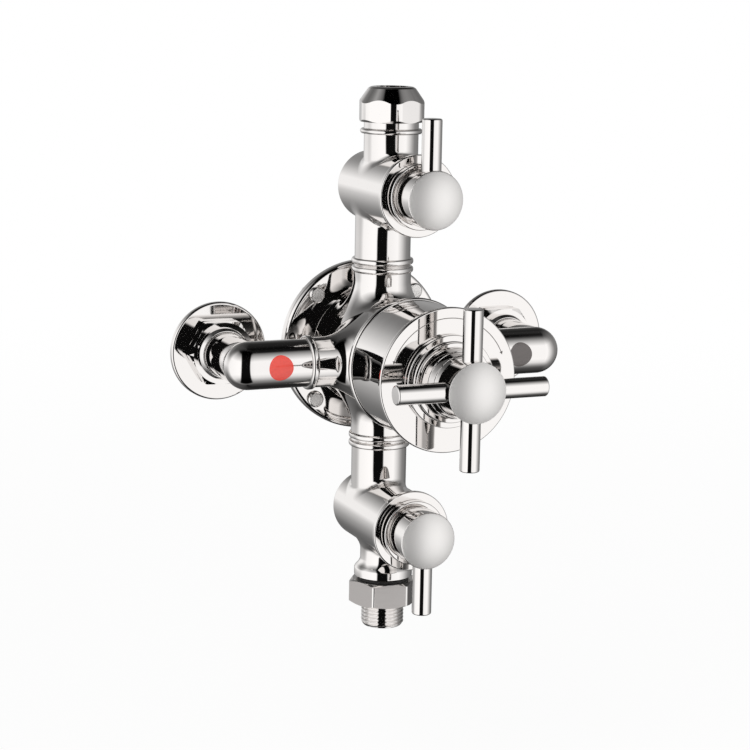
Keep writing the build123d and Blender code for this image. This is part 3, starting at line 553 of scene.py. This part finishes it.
class VALVE_OT_cast_body(bpy.types.Operator):
    """Model the cast body with its barrel, rim and four blended stubs"""
    bl_idname = "valve.cast_body"
    bl_label = "Cast Body"

    def execute(self, context):
        rim_back = BODY_FRONT - 3.6
        outline = [(22.0, 0.8), (22.0, FLANGE_FRONT), (BARREL_R, FLANGE_FRONT),
                   *arc((BARREL_R + 3.5, rim_back - 3.0), 3.5, 180, 110, 10), (30.3, rim_back + 0.3),
                   *arc((30.8, rim_back + 1.6), 1.4, -80, 0, 8),
                   *arc((30.8, BODY_FRONT - 1.4), 1.4, 0, 90, 8),
                   (24.0, BODY_FRONT), (24.0, 58.0), (20.0, 58.0), (20.0, 34.8)]
        shapes = [soften(turned("body_barrel", CENTRE, OUT, outline), 0.2, 40)]
        for way in (LEFT, RIGHT):
            base = OUT * INLET_DEPTH
            inlet = [(9.6, 36.8), (9.6, 43.0), (12.0, 43.0), (12.0, 38.0)]
            shapes.append(saddle_stub("inlet_stub", base, way, inlet, BARREL_R, 6.0, (12.0, 23.4), 6.0))
        for way in (UP, DOWN):
            base = OUT * OUTLET_DEPTH
            outlet = [(14.0, 39.5), (14.0, 37.5)]
            shapes.append(saddle_stub("outlet_stub", base, way, outlet, BARREL_R, 6.5, (14.0, 23.4), 5.5))
        dress(joined("cast_body", shapes), "valve_body")
        return {"FINISHED"}


class VALVE_OT_front_collar(bpy.types.Operator):
    """Model the collar, the dial plate with its engraved arc, and the stop ring"""
    bl_idname = "valve.front_collar"
    bl_label = "Front Collar"

    def execute(self, context):
        collar = [(28.5, BODY_FRONT), (31.4, BODY_FRONT), (31.5, COLLAR_FRONT), (28.5, COLLAR_FRONT),
                  (28.5, BODY_FRONT)]
        sleeve = soften(turned("collar_sleeve", CENTRE, OUT, collar), 0.6)
        dress(sleeve, "front_collar")
        plate = plain_ring(13.05, 33.65, COLLAR_FRONT, DIAL_FRONT)
        dial = soften(turned("dial_disc", CENTRE, OUT, plate), 0.8, steps=4)
        dress(dial, "dial_plate")
        steps = [(13.05, DIAL_FRONT), (21.5, DIAL_FRONT), (21.5, 109.5), (18.5, 109.5), (18.5, 112.5),
                 (13.05, 112.5), (13.05, DIAL_FRONT)]
        dress(soften(turned("stop_steps", CENTRE, OUT, steps), 0.5), "stop_ring")
        self.engrave(context.scene.valve_sizes)
        return {"FINISHED"}

    def engrave(self, sizes):
        """A thin dark arc over the top of the dial, with an arrow head at each end."""
        radius = sizes.arc_radius / MM
        half = sizes.arc_width / MM / 2
        front = DIAL_FRONT + 0.015
        back = DIAL_FRONT - 0.2
        # The arc ends 24 degrees above the middle on the right, and 20 degrees on the left
        ends = ((1, math.radians(24)), (-1, math.radians(20)))
        ring = plain_ring(radius - half, radius + half, back, front)
        mark = turned("dial_arc", CENTRE, OUT, ring)
        edit(mark)
        for side, a in ends:
            bpy.ops.mesh.select_all(action="SELECT")
            # Each cut leaves the part above a line through the middle that rises to one side
            bpy.ops.mesh.bisect(plane_co=(0, 0, 0), plane_no=(side * math.sin(a), 0, -math.cos(a)),
                                clear_outer=True, use_fill=True)
        bpy.ops.object.mode_set(mode="OBJECT")
        shapes = [mark]
        for side, a in ends:
            point = Vector((side * radius * math.cos(a), 0, radius * math.sin(a)))
            head = turned("arrow_head", point, OUT, [(1.0, back), (1.0, front)], 3)
            edit(head)
            tip = max((v.co / MM - point for v in head.data.vertices), key=lambda v: v.z)
            heading = math.atan2(-math.cos(a), side * math.sin(a))
            now = math.atan2(tip.z, tip.x)
            bpy.ops.transform.rotate(value=heading - now, orient_axis="Y", center_override=point * MM)
            bpy.ops.object.mode_set(mode="OBJECT")
            shapes.append(head)
        arc_mark = joined("dial_arc", shapes)
        # Engraved line filled with grey lacquer, worn thin in places
        lacquer = mottled("engraved_lacquer", "#6E6A68", "#8A8683", 2, 0.45)
        arc_mark.data.materials.append(lacquer)
        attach(arc_mark, "valve")


class VALVE_OT_cross_handle(bpy.types.Operator):
    """Model the cross handle: stepped hub, four bars and the domed cap"""
    bl_idname = "valve.cross_handle"
    bl_label = "Cross Handle"

    def execute(self, context):
        body = "temperature_handle"
        hub = [(4.6, 112.8), (16.5, 112.8), (16.5, 114.0), (15.57, 117.5), (15.17, 117.5), (14.23, 121.0),
               (13.83, 121.0), (12.9, 124.5), (13.87, 124.5), (13.87, 137.4), (12.42, 137.4), (12.42, 135.8)]
        dress(soften(turned("hub_cone", CENTRE, OUT, hub), 0.25, 14), "handle_hub", body)
        bar = [(4.55, 11.5), (4.55, 36.75), (0, 36.75)]
        for side, way in (("top", UP), ("right", RIGHT), ("bottom", DOWN), ("left", LEFT)):
            piece = soften(turned(f"cross_bar_{side}", OUT * BAR_DEPTH, way, bar, 64), 0.8, steps=4)
            dress(piece, f"handle_bar_{side}", body)
        cap = [(12.37, 135.8), (12.37, 137.5), (13.87, 137.5), *dome(13.87, 137.6, 3.8, 16)]
        piece = soften(turned("cap_dome", CENTRE, OUT, cap), 0.3)
        dress(piece, "handle_cap", body, satin_chrome())
        return {"FINISHED"}


class VALVE_OT_union_rings(bpy.types.Operator):
    """Model the double-beaded union rings above and below the body"""
    bl_idname = "valve.union_rings"
    bl_label = "Union Rings"

    def execute(self, context):
        for level, way in LEVELS:
            beads = []
            for start in (39.5, 43.5):
                beads += [*arc((13.8, start + 1.2), 1.2, -90, 0, 5), *arc((13.8, start + 1.8), 1.2, 0, 90, 5)]
                beads.append((13.4, start + 3.0))
            outline = [(10.0, 39.5), *beads, (10.0, 46.5), (10.0, 39.5)]
            ring = soften(turned(f"{level}_union_beads", OUT * OUTLET_DEPTH, way, outline), 0.15, 40)
            dress(ring, f"{level}_union_ring")
        return {"FINISHED"}


class VALVE_OT_lever_castings(bpy.types.Operator):
    """Model the castings of the two lever valves"""
    bl_idname = "valve.lever_castings"
    bl_label = "Lever Castings"

    def execute(self, context):
        for level, way in LEVELS:
            barrel = [(15.0, 8.0), *arc((15.0, 10.0), 2.0, -90, 0), (LEVER_BARREL_R, 65.5)]
            shapes = [soften(turned("lever_barrel", way * LEVER_HEIGHT, OUT, barrel), 0.3, 40)]
            inlet = [(13.5, LEVER_HEIGHT - 46.5), (13.5, 24.0)]
            inlet_base = way * LEVER_HEIGHT + OUT * OUTLET_DEPTH
            shapes.append(saddle_stub("lever_inlet", inlet_base, -way, inlet, LEVER_BARREL_R, 2.6))
            outlet_base = way * LEVER_HEIGHT + OUT * LEVER_OUTLET_DEPTH
            outlet, blend = [(13.0, 26.7), (13.0, 23.0)], 2.6
            if level == "lower":
                # The lower outlet has a waist under its rim
                outlet = [(13.6, 30.5), (14.3, 29.8), (14.3, 26.5), (14.0, 25.8), (13.1, 24.8), (12.4, 23.9),
                          (11.9, 23.0), (11.6, 22.2), (11.42, 21.4)]
                blend = 3.6
            shapes.append(saddle_stub("lever_outlet", outlet_base, way, outlet, LEVER_BARREL_R, blend))
            casting = joined(f"{level}_casting", shapes)
            dress(casting, f"{level}_valve_body")
        return {"FINISHED"}


class VALVE_OT_lever_controls(bpy.types.Operator):
    """Model the shroud, headwork, knob and lever of the two lever valves"""
    bl_idname = "valve.lever_controls"
    bl_label = "Lever Controls"

    def execute(self, context):
        chrome = polished_chrome()
        for level, way in LEVELS:
            base = way * LEVER_HEIGHT
            disc = plain_ring(12.5, 19.35, 65.5, 68.5)
            shroud = soften(turned(f"{level}_shroud_disc", base, OUT, disc), 0.7)
            dress(shroud, f"{level}_shroud")
            flange = [(12.4, 60.0), (12.4, 68.5), (15.5, 68.5), (15.5, 72.5), (4.1, 72.5), (4.1, 60.0),
                      (12.4, 60.0)]
            headwork = soften(turned(f"{level}_headwork_flange", base, OUT, flange), 0.6)
            dress(headwork, f"{level}_headwork")
            rim = 88.0
            front = [(4.1, 72.8), (12.5, 72.8), (12.5, 76.0), (13.67, 76.0), (13.67, rim),
                     *dome(13.67, rim, 3.7, 16)]
            knob = soften(turned(f"{level}_knob_dome", base, OUT, front), angle=30)
            second_finish(knob, chrome, satin_chrome(), lambda centre, _: centre.y < -rim - 0.05)
            dress(knob, f"{level}_knob", f"{level}_control")
            rod = [(4.65, 11.0), (4.65, 36.9), (0, 36.9)]
            lever = soften(turned(f"{level}_lever_rod", base + OUT * LEVER_DEPTH, way, rod, 64), 0.9, steps=4)
            dress(lever, f"{level}_lever", f"{level}_control")
        return {"FINISHED"}


class VALVE_OT_riser(bpy.types.Operator):
    """Model the beaded riser adaptor and its tapered compression nut"""
    bl_idname = "valve.riser"
    bl_label = "Riser Connection"

    def execute(self, context):
        base = OUT * LEVER_OUTLET_DEPTH
        start, end = 112.3, 128.9
        bead = arc((13.65, 107.95), 1.25, -90, 90, 8)
        outline = [(6.5, 95.7), (10.0, 95.7), (10.0, 106.7), *bead, (13.1, 109.2), (13.1, start),
                   (10.5, start), (10.5, 118.9), (7.6, 118.9), (7.6, 103.9), (6.5, 103.9), (6.5, 95.7)]
        adaptor = soften(turned("riser_bead", base, UP, outline), 0.2, 40)
        dress(adaptor, "riser_adaptor")
        taper = [(15.0, start), (16.5, 113.9), (16.5, 120.7), (11.4, 128.0), (10.3, 128.7), (9.5, end)]
        nut = hex_nut("riser_taper_nut", base, UP, start, end, 16.0, taper, NUT_BORE_R, corner=4.0)
        dress(nut, "riser_nut")
        return {"FINISHED"}


class VALVE_OT_outlet(bpy.types.Operator):
    """Model the outlet adaptor with its hexagon and thread, and its washer"""
    bl_idname = "valve.outlet"
    bl_label = "Hose Outlet"

    def execute(self, context):
        base = OUT * LEVER_OUTLET_DEPTH
        start, end, bore_r = 112.0, 123.8, 6.5
        ring = plain_ring(9.05, 12.6, 110.5, start)
        washer = soften(turned("outlet_seal", base, DOWN, ring, 96), 0.2)
        dress(washer, "outlet_washer", material=inner_finishes()["rubber"])
        nut = hex_nut("outlet_hexagon", base, DOWN, start, end, 38.3, nut_turning(start, end), bore_r)
        pitch = context.scene.valve_sizes.thread_pitch / MM
        male = thread("outlet_thread", base, DOWN, 10.48, 1.0, pitch, end, 135.4, bore_r)
        fitting = joined("outlet_fitting", [nut, male])
        chrome = polished_chrome()

        def flats_painted_grey(centre, normal):
            """Pick the six flats, and neither the rounded corners nor the turned ends."""
            off_axis = math.hypot(centre.x, centre.y + LEVER_OUTLET_DEPTH)
            return abs(normal.z) < 0.1 and -end < centre.z < -start and 12.0 < off_axis < 15.3

        # The flats get the chrome painted a darker grey, as painted shade
        second_finish(fitting, chrome, shaded_flat_chrome(), flats_painted_grey)
        dress(fitting, "outlet_adaptor")
        return {"FINISHED"}


class VALVE_OT_wall_elbows(bpy.types.Operator):
    """Model the two wall elbows and their round enamel markers"""
    bl_idname = "valve.wall_elbows"
    bl_label = "Wall Elbows"

    def execute(self, context):
        finish = context.scene.valve_finish
        colours = {"hot": ("red", finish.hot), "cold": ("grey", finish.cold)}
        for feed, way in FEEDS:
            ring = [*arc((11.7, 44.2), 1.2, -90, 0, 5), *arc((11.7, 45.2), 1.2, 0, 90, 5)]
            end = arc((0.0, INLET_X), ELBOW_R, 0, 90, 24)
            tube = [(7.5, 60.2), (7.5, 43.0), *ring, (ELBOW_R, 46.4), *end]
            run = soften(turned("elbow_run", OUT * INLET_DEPTH, way, tube), 0.15, 40)
            leg = [(7.6, 21.2), (7.6, 7.2), (10.9, 7.2), (10.9, INLET_DEPTH)]
            leg_piece = soften(turned("elbow_leg", way * INLET_X, OUT, leg), 0.3, 40)
            dress(joined(f"{feed}_elbow_tube", [run, leg_piece]), f"{feed}_elbow")
            shade, colour = colours[feed]
            spot_r, proud = 6.0, 0.1
            rings = [(spot_r, -0.6), (spot_r, -0.06), (5.94, 0.0),
                     *[(spot_r * step / 12, 0.0) for step in range(11, -1, -1)]]
            spot = turned(f"{feed}_enamel_spot", way * MARKER_X, OUT, rings, 72)
            for vertex in spot.data.vertices:
                # The spot follows the tube, whose surface falls away above and below its middle
                surface = math.sqrt((ELBOW_R + proud) ** 2 - (vertex.co.z / MM) ** 2)
                vertex.co.y -= (INLET_DEPTH + surface) * MM
            pick(spot)
            bpy.ops.object.shade_smooth_by_angle(angle=math.radians(30))
            dress(spot, f"{feed}_marker", "valve", enamel(f"{shade}_stove_enamel", colour))
        return {"FINISHED"}


class VALVE_OT_inlet_fixings(bpy.types.Operator):
    """Model the wall plates and compression nuts behind the elbows"""
    bl_idname = "valve.inlet_fixings"
    bl_label = "Inlet Fixings"

    def execute(self, context):
        start, end = 3.0, 9.5
        for feed, way in FEEDS:
            base = way * INLET_X
            outline = [(8.0, 0.0), (24.0, 0.0), *arc((22.8, 1.8), 1.2, 0, 90), (8.0, start), (8.0, 0.0)]
            plate = soften(turned(f"{feed}_plate_disc", base, OUT, outline), 0.2, 40)
            dress(plate, f"{feed}_wall_plate")
            turning = nut_turning(start, end)
            nut = hex_nut(f"{feed}_nut_hexagon", base, OUT, start, end, 30.0, turning, NUT_BORE_R)
            shoulder = [(10.95, 9.0), (12.6, 9.0), (12.6, 11.1), (11.5, 13.3), (10.95, 13.3), (10.95, 9.0)]
            step = soften(turned("nut_shoulder", base, OUT, shoulder), 0.25, 20)
            whole = joined(f"{feed}_compression_nut", [nut, step])
            dress(whole, f"{feed}_inlet_nut")
        return {"FINISHED"}


class VALVE_OT_springs(bpy.types.Operator):
    """Model the coil springs inside, which the pieces press on"""
    bl_idname = "valve.springs"
    bl_label = "Springs"

    def execute(self, context):
        self.coil("return_coil", "return_spring", "thermostat", CENTRE, OUT, 9.4, 0.7, 36.5, 42.75, 2)
        for feed, way in FEEDS:
            self.coil(f"{feed}_check_coil", f"{feed}_check_spring", f"{feed}_check", OUT * INLET_DEPTH, way,
                      2.6, 0.4, 49.0, 57.5, 4)
        return {"FINISHED"}

    def coil(self, name, node, mover, base, along, coil_r, wire_r, start, end, turns):
        """A round wire wound between a start and an end on an axis."""
        clear_selection()
        bpy.ops.mesh.primitive_circle_add(vertices=12, radius=wire_r * MM, location=(coil_r * MM, 0, 0),
                                          rotation=(math.pi / 2, 0, 0))
        spring = bpy.context.object
        spring.name = name
        bpy.ops.object.transform_apply(location=True, rotation=True, scale=True)
        bpy.ops.object.modifier_add(type="SCREW")
        wind = spring.modifiers[-1]
        wind.iterations = turns
        wind.steps = wind.render_steps = 36
        wind.screw_offset = (end - start - 2 * wire_r) / turns * MM
        bpy.ops.object.modifier_apply(modifier=wind.name)
        edit(spring)
        close_shape()
        bpy.ops.object.shade_smooth_by_angle(angle=math.radians(50))
        spring.rotation_euler = along.to_track_quat("Z", "Y").to_euler()
        spring.location = (base + along * (start + wire_r)) * MM
        bpy.ops.object.transform_apply(location=True, rotation=True, scale=True)
        spring.data.materials.append(inner_finishes()["steel"])
        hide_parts(node)
        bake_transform(spring)


class VALVE_OT_inner_finishes(bpy.types.Operator):
    """Finish the working pieces inside the valve, which keep their CAD shapes"""
    bl_idname = "valve.inner_finishes"
    bl_label = "Inner Finishes"

    def execute(self, context):
        finishes = inner_finishes()
        slots = {entry["node"]: entry["material_slot"] for entry in frame["record"]["subparts"]}
        for node, piece in frame["nodes"].items():
            if not piece.hide_render:
                piece.data.materials.clear()
                piece.data.materials.append(finishes[slots[node]])
        return {"FINISHED"}


# Stage


class VALVE_OT_stage(bpy.types.Operator):
    """Make the floor, the studio, the lamps and the camera"""
    bl_idname = "valve.stage"
    bl_label = "Stage"

    def execute(self, context):
        context.scene.view_settings.view_transform = "Standard"
        self.floor()
        self.studio(context.scene)
        self.lamp("key", (-0.9, -1.1, 1.1), 0.9, 9.0)
        self.lamp("fill", (1.1, -0.9, 0.5), 0.9, 5.0)
        self.camera(context.scene)
        return {"FINISHED"}

    def floor(self):
        """A pale floor below the valve that fades into the white background."""
        clear_selection()
        bpy.ops.mesh.primitive_plane_add(size=8.0, location=(0, 0, -0.26))
        floor = bpy.context.object
        floor.name = "studio_floor"
        bpy.ops.object.transform_apply(location=True)
        material, tree, shader = new_finish("white_paper", linear_colour("#F7F7F6"), Roughness=0.9)
        # Paper fibres gather in flecks about 11 mm across
        vary_gloss(tree, shader, noise(tree, 90.0, 2.0), 0.85, 0.95)
        place = add_node(tree, "ShaderNodeTexCoord").outputs["Object"]
        far = add_node(tree, "ShaderNodeVectorMath", {"operation": "LENGTH"}, i0=place)
        fade = add_node(tree, "ShaderNodeMapRange", {"From Min": 0.2, "From Max": 1.8, "To Min": 0.88,
                                                     "interpolation_type": "SMOOTHSTEP"},
                        Value=far.outputs["Value"])
        rays = add_node(tree, "ShaderNodeLightPath")
        seen = product(tree, fade.outputs["Result"], rays.outputs["Is Camera Ray"])
        white = add_node(tree, "ShaderNodeEmission", {"Strength": 1.0})
        mixed = add_node(tree, "ShaderNodeMixShader", None, i0=seen, i1=shader.outputs[0],
                         i2=white.outputs[0])
        tree.links.new(mixed.outputs[0], tree.nodes["Material Output"].inputs["Surface"])
        floor.data.materials.append(material)
        floor.visible_glossy = False

    def studio(self, scene):
        """White to the camera. To the chrome, two tall soft boxes with a dark gap between them, a dark
        ceiling, and a grey room behind that is darker on the right."""
        world = bpy.data.worlds.new("studio")
        scene.world = world
        world.use_nodes = True
        tree = world.node_tree
        tree.nodes.clear()
        way = add_node(tree, "ShaderNodeTexCoord").outputs["Generated"]
        parts = add_node(tree, "ShaderNodeSeparateXYZ", None, Vector=way)
        ahead = add_node(tree, "ShaderNodeMath", {"operation": "MULTIPLY"}, i0=parts.outputs["Y"])
        ahead.inputs[1].default_value = -1.0
        round_angle = add_node(tree, "ShaderNodeMath", {"operation": "ARCTAN2"}, i0=parts.outputs["X"],
                               i1=ahead.outputs[0])
        height = add_node(tree, "ShaderNodeMath", {"operation": "ARCSINE"}, i0=parts.outputs["Z"])
        turns = add_node(tree, "ShaderNodeMapRange", {"From Min": -math.pi, "From Max": math.pi},
                         Value=round_angle.outputs[0])
        rise = add_node(tree, "ShaderNodeMapRange", {"From Min": -math.pi / 2, "From Max": math.pi / 2},
                        Value=height.outputs[0])
        turn, tilt = turns.outputs["Result"], rise.outputs["Result"]
        boxes = self.ramp(tree, turn, (
            (-180, 0.25), (-150, 0.3), (-128, 0.7), (-112, 1.2), (-60, 1.3), (0, 1.15), (42, 1.25),
            (62, 0.85), (78, 0.5), (94, 0.28), (180, 0.25)))
        front = self.ramp(tree, tilt, (
            (-90, 0.12), (-62, 0.3), (-46, 0.8), (-32, 1.0), (26, 1.0), (40, 0.64), (50, 0.38), (57, 0.22),
            (64, 0.01), (90, 0.02)))
        rear = self.ramp(tree, tilt, (
            (-90, 0.06), (-45, 0.1), (-26, 0.22), (-18, 0.42), (-9, 0.72), (-2, 1.1), (8, 1.1), (14, 0.82),
            (20, 0.52), (26, 0.24), (45, 0.1), (90, 0.03)))
        right_rear = self.ramp(tree, turn, (
            (-180, 0.75), (-165, 1.0), (-100, 1.0), (90, 0.2), (150, 0.22), (180, 0.75)))
        behind = self.ramp(tree, turn, (
            (-180, 1.0), (-142, 1.0), (-108, 0.0), (98, 0.0), (136, 1.0), (180, 1.0)))
        # The gap between the boxes is a straight slab of darkness, 42 degrees wide, left of the valve's front
        middle = math.radians(-25)
        across = add_node(tree, "ShaderNodeVectorMath", {"operation": "DOT_PRODUCT"}, i0=way)
        across.inputs[1].default_value = (math.cos(middle), math.sin(middle), 0)
        towards = add_node(tree, "ShaderNodeVectorMath", {"operation": "DOT_PRODUCT"}, i0=way)
        towards.inputs[1].default_value = (math.sin(middle), -math.cos(middle), 0)
        off = add_node(tree, "ShaderNodeMath", {"operation": "ABSOLUTE"}, i0=across.outputs["Value"])
        edge = add_node(tree, "ShaderNodeMapRange", {"From Min": 0.32, "From Max": 0.39, "To Min": 0.004},
                        Value=off.outputs[0])
        facing = add_node(tree, "ShaderNodeMapRange", {"From Min": 0.0, "From Max": 0.15},
                          Value=towards.outputs["Value"])
        gap = add_node(tree, "ShaderNodeMix", {"data_type": "FLOAT"}, i0=facing.outputs["Result"],
                       i3=edge.outputs["Result"])
        gap.inputs[2].default_value = 1.0
        lit = product(tree, product(tree, boxes, front), gap.outputs[0])
        seen = add_node(tree, "ShaderNodeMix", {"data_type": "FLOAT"}, i0=behind, i2=lit,
                        i3=product(tree, rear, right_rear))
        rays = add_node(tree, "ShaderNodeLightPath")
        mirrored = add_node(tree, "ShaderNodeMath", {"operation": "MAXIMUM"},
                            i0=rays.outputs["Is Glossy Ray"], i1=rays.outputs["Is Transmission Ray"])
        plain = add_node(tree, "ShaderNodeMapRange", {"To Min": 0.72, "To Max": 1.0},
                         Value=rays.outputs["Is Camera Ray"])
        level = add_node(tree, "ShaderNodeMix", {"data_type": "FLOAT"}, i0=mirrored.outputs[0],
                         i2=plain.outputs["Result"], i3=seen.outputs[0])
        light = add_node(tree, "ShaderNodeBackground", {"Color": (1, 1, 1, 1)}, Strength=level.outputs[0])
        out = add_node(tree, "ShaderNodeOutputWorld", None, Surface=light.outputs[0])
        out.is_active_output = True

    def ramp(self, tree, factor, stops):
        """A brightness that changes with an angle, from stops of (degrees, brightness) at its whole range."""
        node = add_node(tree, "ShaderNodeValToRGB", None, Fac=factor)
        marks = node.color_ramp.elements
        start, end = stops[0][0], stops[-1][0]
        for angle, _ in stops[1:-1]:
            marks.new((angle - start) / (end - start))
        for mark, (_, value) in zip(marks, stops):
            mark.color = (value, value, value, 1)
        return node.outputs["Color"]

    def lamp(self, name, place, size, power):
        """A large soft lamp that shines at the valve's middle. The chrome shows the studio, not the lamp."""
        clear_selection()
        valve_middle = Vector((0, -0.06, 0))
        aim = (valve_middle - Vector(place)).to_track_quat("-Z", "Y").to_euler()
        bpy.ops.object.light_add(type="AREA", location=place, rotation=aim)
        lamp = bpy.context.object
        lamp.name = f"{name}_lamp"
        lamp.data.size = size
        lamp.data.energy = power
        lamp.visible_glossy = False

    def camera(self, scene):
        """A camera at the photograph's place, found by fitting the valve's outlines."""
        azimuth, elevation, roll = (math.radians(a) for a in (-22.71, 10.61, 1.03))
        distance, focal_pixels = 1036.97, 2121.38
        target = Vector((-2.73, -26.32, -11.56))
        back = Vector((math.sin(azimuth) * math.cos(elevation), -math.cos(azimuth) * math.cos(elevation),
                       math.sin(elevation)))
        clear_selection()
        aim = (-back).to_track_quat("-Z", "Y")
        bpy.ops.object.camera_add(location=(target + back * distance) * MM)
        camera = bpy.context.object
        camera.name = "photo_camera"
        level = aim.to_matrix()
        right, up = level.col[0].copy(), level.col[1].copy()
        tilted_right = right * math.cos(roll) + up * math.sin(roll)
        tilted_up = up * math.cos(roll) - right * math.sin(roll)
        for i in range(3):
            level[i][0] = tilted_right[i]
            level[i][1] = tilted_up[i]
        camera.rotation_euler = level.to_euler()
        camera.data.sensor_width = SENSOR_WIDTH
        camera.data.lens = SENSOR_WIDTH * focal_pixels / IMAGE_PIXELS
        scene.camera = camera


class VALVE_PT_sidebar(bpy.types.Panel):
    """Lists the valve's steps, sizes and finishes"""
    bl_label = "Shower Valve"
    bl_idname = "VALVE_PT_sidebar"
    bl_space_type = "VIEW_3D"
    bl_region_type = "UI"
    bl_category = "Shower Valve"

    def draw(self, context):
        for step in STEPS:
            self.layout.operator(step.bl_idname)
        for group in (context.scene.valve_sizes, context.scene.valve_finish):
            for name in group.__annotations__:
                self.layout.prop(group, name)


STEPS = (VALVE_OT_wall_flange, VALVE_OT_cast_body, VALVE_OT_front_collar, VALVE_OT_cross_handle,
         VALVE_OT_union_rings, VALVE_OT_lever_castings, VALVE_OT_lever_controls, VALVE_OT_riser,
         VALVE_OT_outlet, VALVE_OT_wall_elbows, VALVE_OT_inlet_fixings, VALVE_OT_springs,
         VALVE_OT_inner_finishes, VALVE_OT_stage)
CLASSES = (ValveSizes, ValveFinish, *STEPS, VALVE_PT_sidebar)


def register():
    for each in CLASSES:
        bpy.utils.register_class(each)
    bpy.types.Scene.valve_sizes = PointerProperty(type=ValveSizes)
    bpy.types.Scene.valve_finish = PointerProperty(type=ValveFinish)


def unregister():
    del bpy.types.Scene.valve_finish
    del bpy.types.Scene.valve_sizes
    for each in reversed(CLASSES):
        bpy.utils.unregister_class(each)


def main():
    """Build the valve and its stage."""
    register()
    for step in STEPS:
        getattr(bpy.ops.valve, step.bl_idname.split(".")[1])()


if __name__ == "__main__":
    main()
